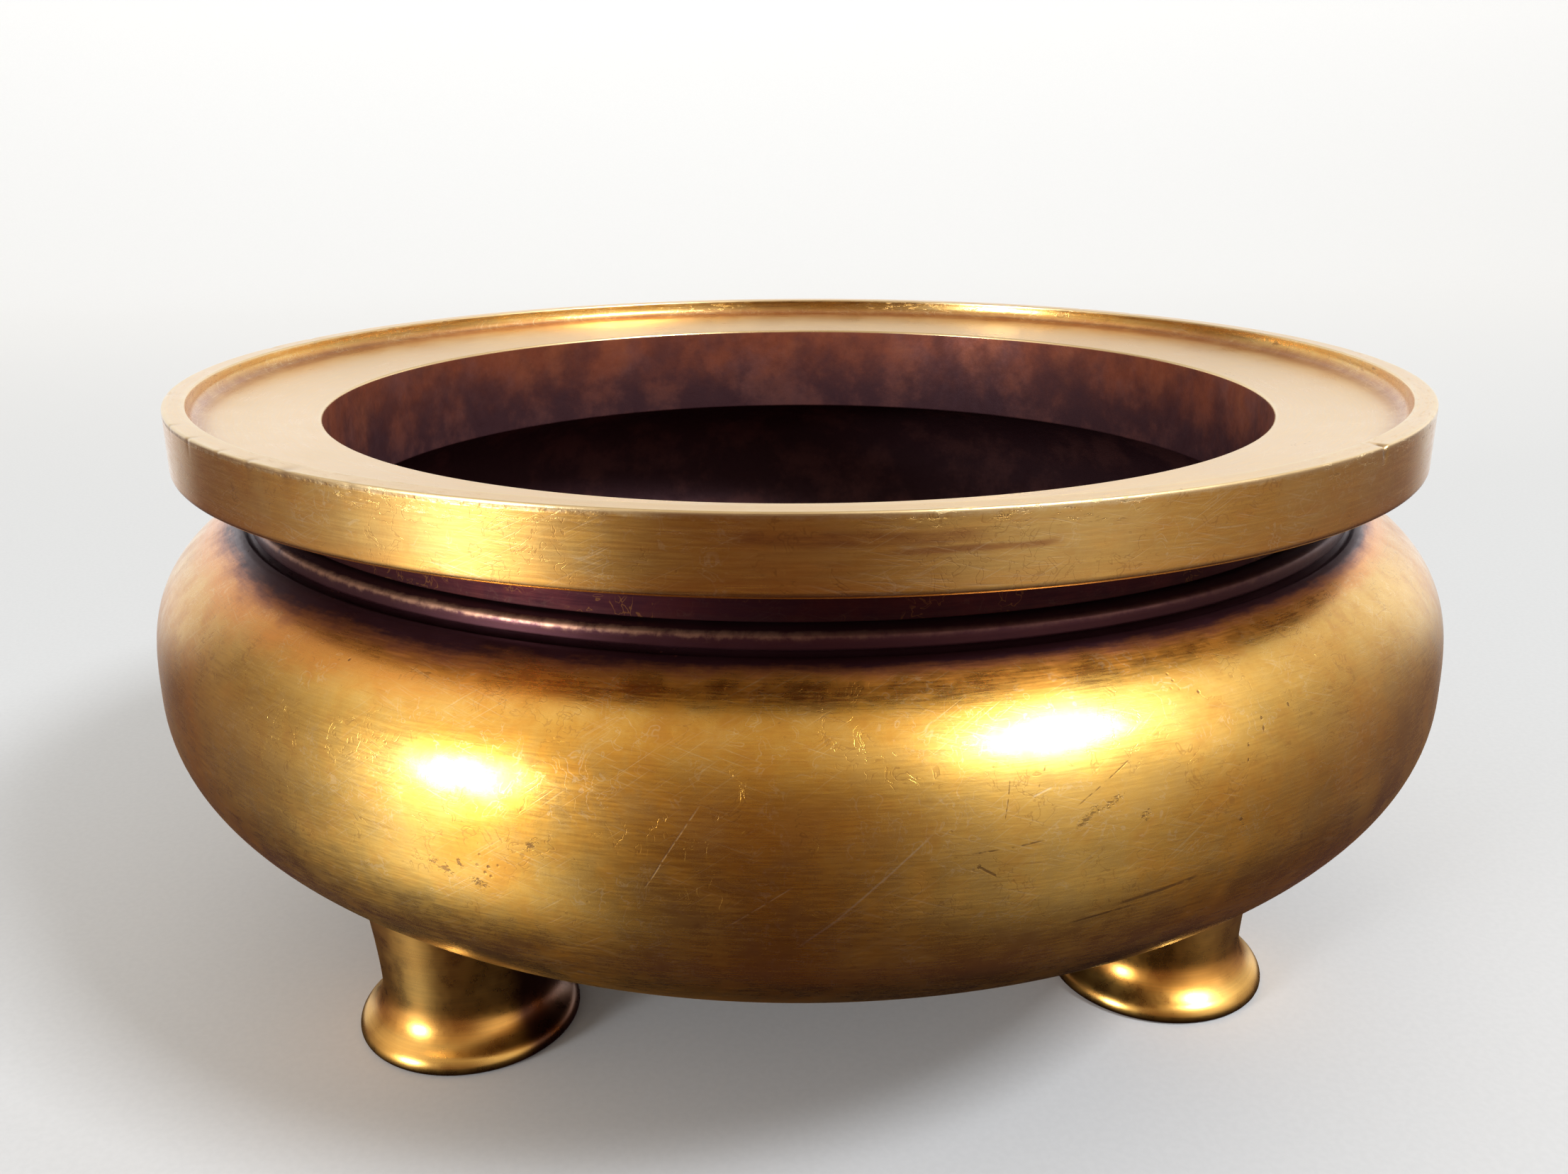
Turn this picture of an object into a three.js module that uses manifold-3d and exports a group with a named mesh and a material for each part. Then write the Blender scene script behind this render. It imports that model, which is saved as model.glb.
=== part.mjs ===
// Tripod incense burner: a squat turned brass bowl on three spool feet, open at the top, with a
// broad tray-shaped rim. Millimetres, +Z up. The origin is on the table under the bowl's axis.
// The rear foot points along +Y, and the front pair stand to the left and right of -Y.
import * as THREE from 'three';
import * as BufferGeometryUtils from 'three/addons/utils/BufferGeometryUtils.js';
import Module from 'manifold-3d';

const wasm = await Module();
wasm.setup();

// Clearances
const FIT_GAP = 0.3;             // round every spigot and shank, and between every pair of seats
const END_GAP = 1.0;             // below the tip of each screw, in its blind hole

// Mouth, neck and rim, from the inside out
const MOUTH_RADIUS = 77.8;       // the opening, and the bore of the spigot below it
const SPIGOT_WALL = 4.25;
const SPIGOT_DEPTH = 5.0;        // how far the rim's spigot reaches into the bowl's collar
const COLLAR_WALL = 4.95;        // the bowl's collar, from its bore to the foot of the neck
const COLLAR_LEDGE = 2.8;        // how far the collar's ridge stands out from the neck
const COLLAR_BAND = 2.2;         // height of the ridge's face
const NECK_HEIGHT = 7.1;         // from the ridge to the underside of the rim
const RIM_OVERHANG = 12.7;       // how far the rim stands out from the neck
const FASCIA_HEIGHT = 9.6;       // the upright outer band of the rim
const LIP_WIDTH = 3.2;           // the raised edge round the tray
const LIP_RISE = 3.0;            // the lip above the outer edge of the tray
const TRAY_FALL = 1.7;           // how much the tray drops from the lip to the mouth
const TRAY_FILLET = 2.2;
const NECK_FILLET = 1.4;         // between the neck and the underside of the rim
const FASCIA_ROUND = 0.9;        // lower edge of the fascia
const SHARP_EDGE = 0.35;         // the small chamfer on edges that look sharp

// Groove under the ridge
const GROOVE_DEPTH = 1.3;        // inwards from the ridge's face
const GROOVE_DROP = 0.5;         // below the crest of the shoulder
const GROOVE_RISE = 0.4;         // from the crest of the shoulder to the ridge's lower edge
const CREST_REACH = 1.1;         // from the ridge's face out to the crest of the shoulder
const GROOVE_SWEEP = 70;         // degrees of the round cove that the groove's floor takes

// Belly: two halves, each |r / radius|^n + |z / height|^n = 1, which meet at the greatest radius
const BELLY_SWELL = 15.3;        // how far the belly stands out from the ridge's face
const LOWER_HEIGHT = 39.5;
const LOWER_FULLNESS = 2.22;
const UPPER_HEIGHT = 30.7;
const UPPER_FULLNESS = 3.34;
const BOWL_WALL = 5.0;
const GROUND_CLEARANCE = 19.0;   // under the lowest point of the belly

// Feet
const FOOT_INSET = 38.1;         // from the belly's greatest radius in to each foot's axis
const STEM_RADIUS = 13.3;        // at the waist
const WAIST_HEIGHT = 7.2;
const PAD_FLARE = 4.4;           // how far the pad stands out from the waist
const PAD_HEIGHT = 4.0;
const PAD_EDGE = 0.9;            // rounding where the pad meets the table
const PAD_ROLL_START = 20;       // degrees up the pad's rolled shoulder, from its widest point
const PAD_ROLL_END = 62;
const WAIST_EASE = 1.7;          // how soon the pad's shoulder turns up into the waist
const TOP_FLARE = 0.68;          // how much the stem has widened after one waist height
const TOP_FLARE_POWER = 1.5;

// Fasteners: a slotted cheese-head screw and a washer inside the bowl for each foot
const SCREW_RADIUS = 3.0;
const SCREW_LENGTH = 25.0;
const HEAD_RADIUS = 5.2;
const HEAD_HEIGHT = 3.6;
const HEAD_ROUND = 0.6;
const TIP_CHAMFER = 0.7;
const SLOT_WIDTH = 1.4;
const SLOT_DEPTH = 1.6;
const WASHER_RADIUS = 6.6;
const WASHER_THICKNESS = 1.2;
const BOSS_RADIUS = 8.0;
const BOSS_RISE = 0.8;           // the boss above the bowl's floor at the boss's outer side

// Facets. SIDES is a multiple of 3, so that the bowl is alike over each foot.
const SIDES = 60;
const FOOT_SIDES = 32;
const SCREW_SIDES = 24;
const BELLY_STEPS = 14;
const SHOULDER_STEPS = 8;
const ROUND_STEPS = 3;
const EDGE_STEPS = 2;
const PAD_STEPS = 4;
const WAIST_STEPS = 5;
const STEM_STEPS = 6;
const MERGE_DISTANCE = 1e-5;

// Radii that follow
const SPIGOT_RADIUS = MOUTH_RADIUS + SPIGOT_WALL;
const BORE_RADIUS = SPIGOT_RADIUS + FIT_GAP;
const NECK_RADIUS = BORE_RADIUS + COLLAR_WALL;
const COLLAR_RADIUS = NECK_RADIUS + COLLAR_LEDGE;
const RIM_RADIUS = NECK_RADIUS + RIM_OVERHANG;
const CREST_RADIUS = COLLAR_RADIUS + CREST_REACH;
const BELLY_RADIUS = COLLAR_RADIUS + BELLY_SWELL;
const PAD_RADIUS = STEM_RADIUS + PAD_FLARE;
const FOOT_CIRCLE = BELLY_RADIUS - FOOT_INSET;
const HOLE_RADIUS = SCREW_RADIUS + FIT_GAP;

// Heights that follow
const BELLY_Z = GROUND_CLEARANCE + LOWER_HEIGHT;
const CREST_Z = upperZ(CREST_RADIUS, 0);
const RIDGE_Z = CREST_Z + GROOVE_RISE;
const COLLAR_TOP_Z = RIDGE_Z + COLLAR_BAND;
const UNDERSIDE_Z = COLLAR_TOP_Z + NECK_HEIGHT;
const RIM_TOP_Z = UNDERSIDE_Z + FASCIA_HEIGHT;
const BOSS_TOP_Z = lowerZ(FOOT_CIRCLE + BOSS_RADIUS, -BOWL_WALL) + BOSS_RISE;
const WASHER_Z = BOSS_TOP_Z + FIT_GAP;
const HEAD_Z = WASHER_Z + WASHER_THICKNESS + FIT_GAP;
const TIP_Z = HEAD_Z - SCREW_LENGTH;
const BLANK_TOP_Z = BELLY_Z;     // the feet are cut from blanks that run up into the belly

const brass = (color, roughness) => new THREE.MeshStandardMaterial({ color, roughness, metalness: 1 });
const BOWL_BRASS = brass('#b98f45', 0.32);
const RIM_BRASS = brass('#c9a558', 0.28);
const FOOT_BRASS = brass('#c28a34', 0.22);
const FASTENER_BRASS = brass('#80602f', 0.5);

// Height of the belly's upper or lower half at a radius, on a surface offset outwards by grow
function upperZ(radius, grow) {
  const share = (radius / (BELLY_RADIUS + grow)) ** UPPER_FULLNESS;
  return BELLY_Z + (UPPER_HEIGHT + grow) * (1 - share) ** (1 / UPPER_FULLNESS);
}

function lowerZ(radius, grow) {
  const share = (radius / (BELLY_RADIUS + grow)) ** LOWER_FULLNESS;
  return BELLY_Z - (LOWER_HEIGHT + grow) * (1 - share) ** (1 / LOWER_FULLNESS);
}

// Points along the belly's section between two angles, 0 at the greatest radius, in steps of angle
function bellyArc(grow, from, to, steps) {
  const points = [];
  for (let i = 0; i <= steps; i++) {
    const angle = from + (to - from) * i / steps;
    const upper = angle > 0;
    const power = 2 / (upper ? UPPER_FULLNESS : LOWER_FULLNESS);
    const height = (upper ? UPPER_HEIGHT : LOWER_HEIGHT) + grow;
    const radius = (BELLY_RADIUS + grow) * Math.max(Math.cos(angle), 0) ** power;
    const rise = height * Math.abs(Math.sin(angle)) ** power;
    points.push([radius, BELLY_Z + (upper ? rise : -rise)]);
  }
  return points;
}

// The angle of bellyArc at which the upper half reaches a radius
function shoulderAngle(radius, grow) {
  return Math.acos((radius / (BELLY_RADIUS + grow)) ** (UPPER_FULLNESS / 2));
}

// A round corner: points on an ellipse about (r, z), angles in degrees from the outward radius
function corner(r, z, reach, rise, from, to, steps = ROUND_STEPS) {
  const points = [];
  for (let i = 0; i <= steps; i++) {
    const angle = THREE.MathUtils.degToRad(from + (to - from) * i / steps);
    points.push([r + reach * Math.cos(angle), z + rise * Math.sin(angle)]);
  }
  return points;
}

// A solid from a mesh whose shared corners are merged and whose slivers at the axis are dropped
function solidOf(geometry) {
  geometry.deleteAttribute('normal');
  geometry.deleteAttribute('uv');
  const merged = BufferGeometryUtils.mergeVertices(geometry, MERGE_DISTANCE);
  const corners = merged.index.array;
  const triangles = [];
  for (let i = 0; i < corners.length; i += 3) {
    const [a, b, c] = [corners[i], corners[i + 1], corners[i + 2]];
    if (a !== b && b !== c && c !== a) triangles.push(a, b, c);
  }
  const vertProperties = new Float32Array(merged.attributes.position.array);
  const triVerts = new Uint32Array(triangles);
  return new wasm.Manifold(new wasm.Mesh({ numProp: 3, vertProperties, triVerts }));
}

// A section of [radius, z] points, anticlockwise as seen with z up and radius to the right,
// turned about the Z axis, or about an upright axis at (x, y)
function turned(section, sides, x = 0, y = 0) {
  const points = section.map(([radius, z]) => new THREE.Vector2(radius, z));
  const geometry = new THREE.LatheGeometry(points, sides);
  geometry.rotateX(Math.PI / 2);
  geometry.translate(x, y, 0);
  return solidOf(geometry);
}

function rod(radius, low, high, sides, x = 0, y = 0) {
  return turned([[0, low], [radius, low], [radius, high], [0, high]], sides, x, y);
}

function meshOf(name, solid, material) {
  const { vertProperties, triVerts } = solid.getMesh();
  const geometry = new THREE.BufferGeometry();
  geometry.setAttribute('position', new THREE.BufferAttribute(vertProperties, 3));
  geometry.setIndex(new THREE.BufferAttribute(triVerts, 1));
  geometry.computeVertexNormals();
  const mesh = new THREE.Mesh(geometry, material);
  mesh.name = name;
  return mesh;
}

// The whole belly as one plug, offset outwards by grow, for cutting and trimming
function bellyPlug(grow, x = 0, y = 0) {
  return turned(bellyArc(grow, -Math.PI / 2, Math.PI / 2, 2 * BELLY_STEPS), SIDES, x, y);
}

// The bowl: belly, shoulder, groove, ridge and the bored collar that takes the rim's spigot
function bowlSection() {
  const grooveRadius = COLLAR_RADIUS - GROOVE_DEPTH;
  const grooveZ = CREST_Z - GROOVE_DROP;
  const crestReach = CREST_RADIUS - grooveRadius;
  return [
    ...bellyArc(0, -Math.PI / 2, 0, BELLY_STEPS),
    ...bellyArc(0, 0, shoulderAngle(CREST_RADIUS, 0), SHOULDER_STEPS).slice(1),
    ...corner(CREST_RADIUS, RIDGE_Z, crestReach, RIDGE_Z - grooveZ, 180 + GROOVE_SWEEP, 180),
    [COLLAR_RADIUS - SHARP_EDGE, RIDGE_Z],
    [COLLAR_RADIUS, RIDGE_Z + SHARP_EDGE],
    ...corner(COLLAR_RADIUS - SHARP_EDGE, COLLAR_TOP_Z - SHARP_EDGE, SHARP_EDGE, SHARP_EDGE, 0, 90),
    [BORE_RADIUS + SHARP_EDGE, COLLAR_TOP_Z],
    [BORE_RADIUS, COLLAR_TOP_Z - SHARP_EDGE],
    ...bellyArc(-BOWL_WALL, shoulderAngle(BORE_RADIUS, -BOWL_WALL), 0, SHOULDER_STEPS),
    ...bellyArc(-BOWL_WALL, 0, -Math.PI / 2, BELLY_STEPS).slice(1),
  ];
}

// Three flat bosses inside the bowl carry the screws. Each is trimmed to the middle of the wall.
function makeBowl() {
  let bowl = turned(bowlSection(), SIDES);
  const core = bellyPlug(-BOWL_WALL / 2);
  for (const { angle } of STATIONS) {
    const x = FOOT_CIRCLE * Math.sin(angle);
    const y = -FOOT_CIRCLE * Math.cos(angle);
    bowl = bowl.add(rod(BOSS_RADIUS, 0, BOSS_TOP_Z, FOOT_SIDES, x, y).intersect(core));
    bowl = bowl.subtract(rod(HOLE_RADIUS, 0, BELLY_Z, SCREW_SIDES, x, y));
  }
  return meshOf('bowl', bowl, BOWL_BRASS);
}

// The rim: spigot, neck, overhanging tray with its upright fascia, and the raised lip
function makeRim() {
  const seatZ = COLLAR_TOP_Z + FIT_GAP;
  const spigotZ = COLLAR_TOP_Z - SPIGOT_DEPTH;
  const lipRadius = RIM_RADIUS - LIP_WIDTH;
  const trayZ = RIM_TOP_Z - LIP_RISE;
  const mouthZ = trayZ - TRAY_FALL;
  const section = [
    [MOUTH_RADIUS, spigotZ],
    [SPIGOT_RADIUS - SHARP_EDGE, spigotZ],
    [SPIGOT_RADIUS, spigotZ + SHARP_EDGE],
    [SPIGOT_RADIUS, seatZ],
    [NECK_RADIUS, seatZ],
    ...corner(NECK_RADIUS + NECK_FILLET, UNDERSIDE_Z - NECK_FILLET, NECK_FILLET, NECK_FILLET, 180, 90),
    ...corner(RIM_RADIUS - FASCIA_ROUND, UNDERSIDE_Z + FASCIA_ROUND, FASCIA_ROUND, FASCIA_ROUND, -90, 0),
    [RIM_RADIUS, RIM_TOP_Z - SHARP_EDGE],
    [RIM_RADIUS - SHARP_EDGE, RIM_TOP_Z],
    [lipRadius + SHARP_EDGE, RIM_TOP_Z],
    [lipRadius, RIM_TOP_Z - SHARP_EDGE],
    ...corner(lipRadius - TRAY_FILLET, trayZ + TRAY_FILLET, TRAY_FILLET, TRAY_FILLET, 0, -90),
    [MOUTH_RADIUS + SHARP_EDGE, mouthZ],
    [MOUTH_RADIUS, mouthZ - SHARP_EDGE],
    [MOUTH_RADIUS, spigotZ],
  ];
  return meshOf('rim', turned(section, SIDES), RIM_BRASS);
}

// From the end of the pad's rolled shoulder, in the direction it has there, up into the waist
function waistCurve(before, last) {
  const start = new THREE.Vector2(...last);
  const heading = start.clone().sub(new THREE.Vector2(...before)).setLength(WAIST_EASE);
  const waist = new THREE.Vector2(STEM_RADIUS, WAIST_HEIGHT);
  const below = waist.clone().sub(new THREE.Vector2(0, WAIST_EASE));
  const curve = new THREE.CubicBezierCurve(start, start.clone().add(heading), below, waist);
  return curve.getPoints(WAIST_STEPS).slice(1).map((point) => point.toArray());
}

// A foot about its own axis: rolled pad, waist, and a stem that flares to the belly it is cut to
function makeFoot(name) {
  const rollHeight = PAD_HEIGHT - PAD_EDGE;
  const roll = corner(STEM_RADIUS, PAD_EDGE, PAD_FLARE, rollHeight, PAD_ROLL_START, PAD_ROLL_END, PAD_STEPS);
  const section = [
    [0, 0],
    ...corner(PAD_RADIUS - PAD_EDGE, PAD_EDGE, PAD_EDGE, PAD_EDGE, -90, 0, EDGE_STEPS),
    ...roll,
    ...waistCurve(roll.at(-2), roll.at(-1)),
  ];
  for (let i = 1; i <= STEM_STEPS; i++) {
    const z = WAIST_HEIGHT + (BLANK_TOP_Z - WAIST_HEIGHT) * i / STEM_STEPS;
    section.push([STEM_RADIUS + TOP_FLARE * (z / WAIST_HEIGHT - 1) ** TOP_FLARE_POWER, z]);
  }
  section.push([0, BLANK_TOP_Z]);
  const foot = turned(section, FOOT_SIDES)
    .subtract(bellyPlug(FIT_GAP, 0, FOOT_CIRCLE))
    .subtract(rod(HOLE_RADIUS, TIP_Z - END_GAP, BLANK_TOP_Z, SCREW_SIDES));
  return meshOf(name, foot, FOOT_BRASS);
}

function makeWasher(name) {
  const top = WASHER_Z + WASHER_THICKNESS;
  const section = [
    [HOLE_RADIUS, WASHER_Z],
    [WASHER_RADIUS, WASHER_Z],
    [WASHER_RADIUS, top - SHARP_EDGE],
    [WASHER_RADIUS - SHARP_EDGE, top],
    [HOLE_RADIUS, top],
    [HOLE_RADIUS, WASHER_Z],
  ];
  return meshOf(name, turned(section, SCREW_SIDES), FASTENER_BRASS);
}

function makeScrew(name) {
  const top = HEAD_Z + HEAD_HEIGHT;
  const section = [
    [0, TIP_Z],
    [SCREW_RADIUS - TIP_CHAMFER, TIP_Z],
    [SCREW_RADIUS, TIP_Z + TIP_CHAMFER],
    [SCREW_RADIUS, HEAD_Z],
    [HEAD_RADIUS, HEAD_Z],
    ...corner(HEAD_RADIUS - HEAD_ROUND, top - HEAD_ROUND, HEAD_ROUND, HEAD_ROUND, 0, 90, EDGE_STEPS),
    [0, top],
  ];
  const slotLength = 2 * (HEAD_RADIUS + FIT_GAP);
  const slot = new THREE.BoxGeometry(slotLength, SLOT_WIDTH, 2 * SLOT_DEPTH);
  slot.translate(0, 0, top);
  return meshOf(name, turned(section, SCREW_SIDES).subtract(solidOf(slot)), FASTENER_BRASS);
}

// The feet stand a third of a turn apart, the first half of that from the front, -Y, which is 0
const THIRD_TURN = 2 * Math.PI / 3;
const STATIONS = ['front_right', 'rear', 'front_left'].map((place, i) => (
  { place, angle: THIRD_TURN * (i + 0.5) }
));

const burner = new THREE.Group();
burner.add(makeBowl(), makeRim());
for (const { place, angle } of STATIONS) {
  const station = new THREE.Group();
  station.rotation.z = angle;
  const pieces = [
    makeFoot(`foot_${place}`),
    makeWasher(`foot_washer_${place}`),
    makeScrew(`foot_screw_${place}`),
  ];
  for (const piece of pieces) {
    piece.position.y = -FOOT_CIRCLE;
    station.add(piece);
  }
  burner.add(station);
}

export default burner;
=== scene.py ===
"""A turned brass tripod incense burner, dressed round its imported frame: satin lathe-turned brass with
red-brown patina in its hollows, wear on its edges, and a mottled inside. Metres, +Z up, -Y to the front."""

import bpy
import numpy as np
from bpy.props import FloatProperty, FloatVectorProperty, PointerProperty
from mathutils import Matrix, Vector


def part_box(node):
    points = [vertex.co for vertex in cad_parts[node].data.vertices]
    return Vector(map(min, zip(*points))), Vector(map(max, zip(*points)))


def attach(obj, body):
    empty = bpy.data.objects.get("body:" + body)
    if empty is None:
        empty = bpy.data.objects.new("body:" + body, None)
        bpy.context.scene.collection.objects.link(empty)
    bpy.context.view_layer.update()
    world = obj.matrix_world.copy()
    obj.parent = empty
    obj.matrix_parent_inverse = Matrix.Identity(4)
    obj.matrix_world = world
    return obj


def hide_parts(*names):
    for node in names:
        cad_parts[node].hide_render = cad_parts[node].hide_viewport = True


bl_info = {
    "name": "Tripod Incense Burner",
    "version": (1, 0, 0),
    "blender": (4, 5, 0),
    "location": "3D View > Sidebar > Burner",
    "description": "Builds the burner's turned pieces, their brass finishes and a pale studio",
    "category": "Add Mesh",
}

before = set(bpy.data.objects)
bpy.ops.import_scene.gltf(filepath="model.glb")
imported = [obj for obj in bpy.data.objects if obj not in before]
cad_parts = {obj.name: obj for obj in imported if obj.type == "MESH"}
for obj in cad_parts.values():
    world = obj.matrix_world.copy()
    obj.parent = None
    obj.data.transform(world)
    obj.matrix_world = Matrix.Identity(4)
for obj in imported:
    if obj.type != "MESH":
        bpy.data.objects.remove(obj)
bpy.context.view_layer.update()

MM = 0.001
FRONT = -90.0                     # degrees from +X, anticlockwise from above
PLACES = ("front_left", "front_right", "rear")
BOWL_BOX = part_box("bowl")
RIM_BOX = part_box("rim")
FOOT_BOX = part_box("foot_rear")
WASHER_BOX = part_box("foot_washer_rear")
SEED = 11

# Heights and radii that the frame gives
BELLY_RADIUS = BOWL_BOX[1].x
BELLY_BOTTOM = BOWL_BOX[0].z
COLLAR_TOP = BOWL_BOX[1].z
RIM_RADIUS = RIM_BOX[1].x
RIM_TOP = RIM_BOX[1].z
SPIGOT_BOTTOM = RIM_BOX[0].z
PAD_RADIUS = (FOOT_BOX[1].x - FOOT_BOX[0].x) / 2

# The belly's section: each half is |r / radius|^fullness + |z / height|^fullness = 1
LOWER_HEIGHT = 39.5 * MM
LOWER_FULLNESS = 2.22
UPPER_HEIGHT = 30.7 * MM
UPPER_FULLNESS = 3.34
BELLY_Z = BELLY_BOTTOM + LOWER_HEIGHT

# How finely the pieces are cut
BOWL_TURNS = 300
RIM_TURNS = 460
FOOT_TURNS = 112
BOSS_TURNS = 64
CORNER_STEPS = 6
BELLY_STEP = 1.0 * MM
INSIDE_STEP = 1.7 * MM
DETAIL_STEP = 0.3 * MM
FLAT_STEP = 1.3 * MM
HOLD = 0.12 * MM                  # beside each eased corner, so that flats stay flat
CREST_JOIN = 0.0015               # share of the step from the shoulder to the groove, where they meet


# Properties


def size(name, description, millimetres):
    """A length in metres, for a size that is easier to read in millimetres."""
    return FloatProperty(name=name, description=description, default=millimetres * MM, min=0.0,
                         unit="LENGTH", subtype="DISTANCE", precision=5)


def tint(name, description, default):
    """A linear colour."""
    return FloatVectorProperty(name=name, description=description, default=default, subtype="COLOR",
                               size=3, min=0.0, max=1.0)


def share(name, description, default):
    """A share from 0 to 1."""
    return FloatProperty(name=name, description=description, default=default, min=0.0, max=1.0,
                         subtype="FACTOR")


class BurnerSizes(bpy.types.PropertyGroup):
    """The sizes of the turned pieces that the frame's boxes don't give."""

    mouth_radius: size("Mouth radius", "The opening, and the bore of the spigot below it", 77.8)
    spigot_wall: size("Spigot wall", "Thickness of the rim's spigot", 4.25)
    fit_gap: size("Fit gap", "Round the spigot, and between every pair of seats", 0.3)
    collar_wall: size("Collar wall", "From the bowl's bore to the foot of the neck", 4.95)
    collar_ledge: size("Collar ledge", "How far the ridge stands out from the neck", 2.8)
    collar_roll: size("Collar roll", "Rounding of the ridge's upper edge", 1.1)
    neck_fillet: size("Neck fillet", "Between the neck and the underside of the rim", 1.4)
    fascia_height: size("Band height", "The upright outer band of the rim", 9.6)
    fascia_round: size("Band round", "Lower edge of the upright band", 0.9)
    lip_width: size("Lip width", "The raised edge round the tray", 3.2)
    lip_rise: size("Lip rise", "The lip above the outer edge of the tray", 3.0)
    tray_fall: size("Tray fall", "How much the tray drops from the lip to the mouth", 1.7)
    tray_fillet: size("Tray fillet", "Between the tray and the lip", 2.2)
    edge_round: size("Edge round", "Easing of the edges that look sharp", 0.35)
    groove_depth: size("Groove depth", "Inwards from the ridge's face", 1.3)
    groove_drop: size("Groove drop", "Below the crest of the shoulder", 0.5)
    groove_rise: size("Groove rise", "From the crest up to the ridge's lower edge", 0.4)
    crest_reach: size("Crest reach", "From the ridge's face out to the crest", 1.1)
    bowl_wall: size("Bowl wall", "Thickness of the belly", 5.0)
    waviness: size("Waviness", "How far the hand-turned belly dips below its true form", 0.07)
    stem_radius: size("Stem radius", "The waist of each foot", 13.6)
    waist_height: size("Waist height", "The waist of each foot above the table", 8.6)
    pad_height: size("Pad height", "The rolled pad of each foot", 4.0)
    pad_edge: size("Pad edge", "Rounding where the pad meets the table", 0.9)
    waist_ease: size("Waist ease", "How soon the pad's shoulder turns up into the waist", 2.3)
    top_flare: size("Top flare", "How much the stem has widened after one waist height", 0.68)
    foot_gap: size("Foot gap", "Between each foot and the belly", 0.12)
    boss_radius: size("Boss radius", "The flat bosses under the screws", 8.0)
    hole_radius: size("Hole radius", "The screw holes", 3.3)


class BurnerFinish(bpy.types.PropertyGroup):
    """The colours and the gloss of the brass and of its patina."""

    belly: tint("Belly", "Satin brass of the belly", (0.80, 0.42, 0.060))
    band: tint("Band", "Brass of the upright band", (0.82, 0.50, 0.135))
    tray: tint("Tray", "Pale rubbed brass of the tray and the lip", (0.90, 0.64, 0.32))
    foot: tint("Feet", "Polished brass of the feet", (0.88, 0.51, 0.12))
    orange: tint("Orange patina", "Thin patina, where it fades into the brass", (0.88, 0.34, 0.045))
    rust: tint("Rust patina", "Red-brown patina, between the orange and the dark", (0.42, 0.125, 0.045))
    # Red also stands for painted shade: on the belly's underside, and on the feet under the belly
    red: tint("Red patina", "Red-brown patina", (0.14, 0.040, 0.020))
    dark: tint("Dark patina", "Purple-brown patina in the hollows", (0.060, 0.016, 0.021))
    inside: tint("Inside", "Red-brown of the inner wall", (0.245, 0.060, 0.026))
    soot: tint("Soot", "Dark floor of the bowl", (0.050, 0.018, 0.022))
    lacquer: share("Lacquer", "Thin clear film that whitens highlights", 0.3)
    roughness: share("Roughness", "Of the satin brass", 0.28)
    brushing: share("Brushing", "How far highlights spread across the turning marks", 0.6)


# Curves and grids


def smooth(value, low, high):
    """0 below low, 1 above high, and a smooth step 3t^2 - 2t^3 between."""
    t = np.clip((value - low) / (high - low), 0.0, 1.0)
    return t * t * (3 - 2 * t)


def belly_arc(grow, start, end, spacing):
    """The belly's section offset outwards by grow, from angle start to end, 0 at its widest point:
    radius = R cos^(2/n) and height = h sin^(2/n) of the angle, with n and h of that half."""
    angle = np.linspace(start, end, 2400)
    upper = angle > 0
    power = 2 / np.where(upper, UPPER_FULLNESS, LOWER_FULLNESS)
    height = np.where(upper, UPPER_HEIGHT, LOWER_HEIGHT) + grow
    radius = (BELLY_RADIUS + grow) * np.maximum(np.cos(angle), 0) ** power
    rise = np.sign(angle) * height * np.abs(np.sin(angle)) ** power
    return evenly(np.column_stack([radius, BELLY_Z + rise]), spacing)


def shoulder_angle(radius, grow):
    """The angle of belly_arc at which the upper half reaches a radius."""
    return float(np.arccos((radius / (BELLY_RADIUS + grow)) ** (UPPER_FULLNESS / 2)))


def underside(radius, grow):
    """Height of the belly's lower half at a radius, offset outwards by grow."""
    left = 1 - (radius / (BELLY_RADIUS + grow)) ** LOWER_FULLNESS
    return BELLY_Z - (LOWER_HEIGHT + grow) * left ** (1 / LOWER_FULLNESS)


def travelled(points):
    """The length along a line of points up to each of them."""
    steps = np.linalg.norm(np.diff(points, axis=0), axis=-1)
    return np.concatenate([np.zeros((1, *steps.shape[1:])), np.cumsum(steps, axis=0)])


def evenly(points, spacing):
    """The same line with points at equal steps of its length, of at most spacing."""
    at = travelled(points)
    wanted = np.linspace(0.0, at[-1], int(np.ceil(at[-1] / spacing)) + 1)
    return np.column_stack([np.interp(wanted, at, points[:, k]) for k in (0, 1)])


def refined(points, longest):
    """The same line with extra points where two are further apart than longest."""
    at = travelled(points)
    counts = np.maximum(np.ceil(np.diff(at) / longest).astype(int), 1)
    start = np.repeat(at[:-1], counts)
    step = np.repeat(np.diff(at) / counts, counts)
    index = np.arange(counts.sum()) - np.repeat(np.cumsum(counts) - counts, counts)
    wanted = np.append(start + step * index, at[-1])
    return np.column_stack([np.interp(wanted, at, points[:, k]) for k in (0, 1)])


def eased(corners, reaches):
    """A closed outline whose corners are rounded: each is a quadratic curve with the corner as its
    handle, which leaves and joins the two sides at its reach, with one more point on each side."""
    corner = np.asarray(corners, float)
    reach = np.asarray(reaches, float)[:, None]
    back = np.roll(corner, 1, axis=0) - corner
    ahead = np.roll(corner, -1, axis=0) - corner
    back /= np.linalg.norm(back, axis=1, keepdims=True)
    ahead /= np.linalg.norm(ahead, axis=1, keepdims=True)
    t = np.linspace(0.0, 1.0, CORNER_STEPS + 1)[None, :, None]
    first, last = (corner + reach * back)[:, None], (corner + reach * ahead)[:, None]
    curve = (1 - t) ** 2 * first + 2 * t * (1 - t) * corner[:, None] + t ** 2 * last
    held = [first + HOLD * back[:, None], curve, last + HOLD * ahead[:, None]]
    return np.concatenate(held, axis=1).reshape(-1, 2)


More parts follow.
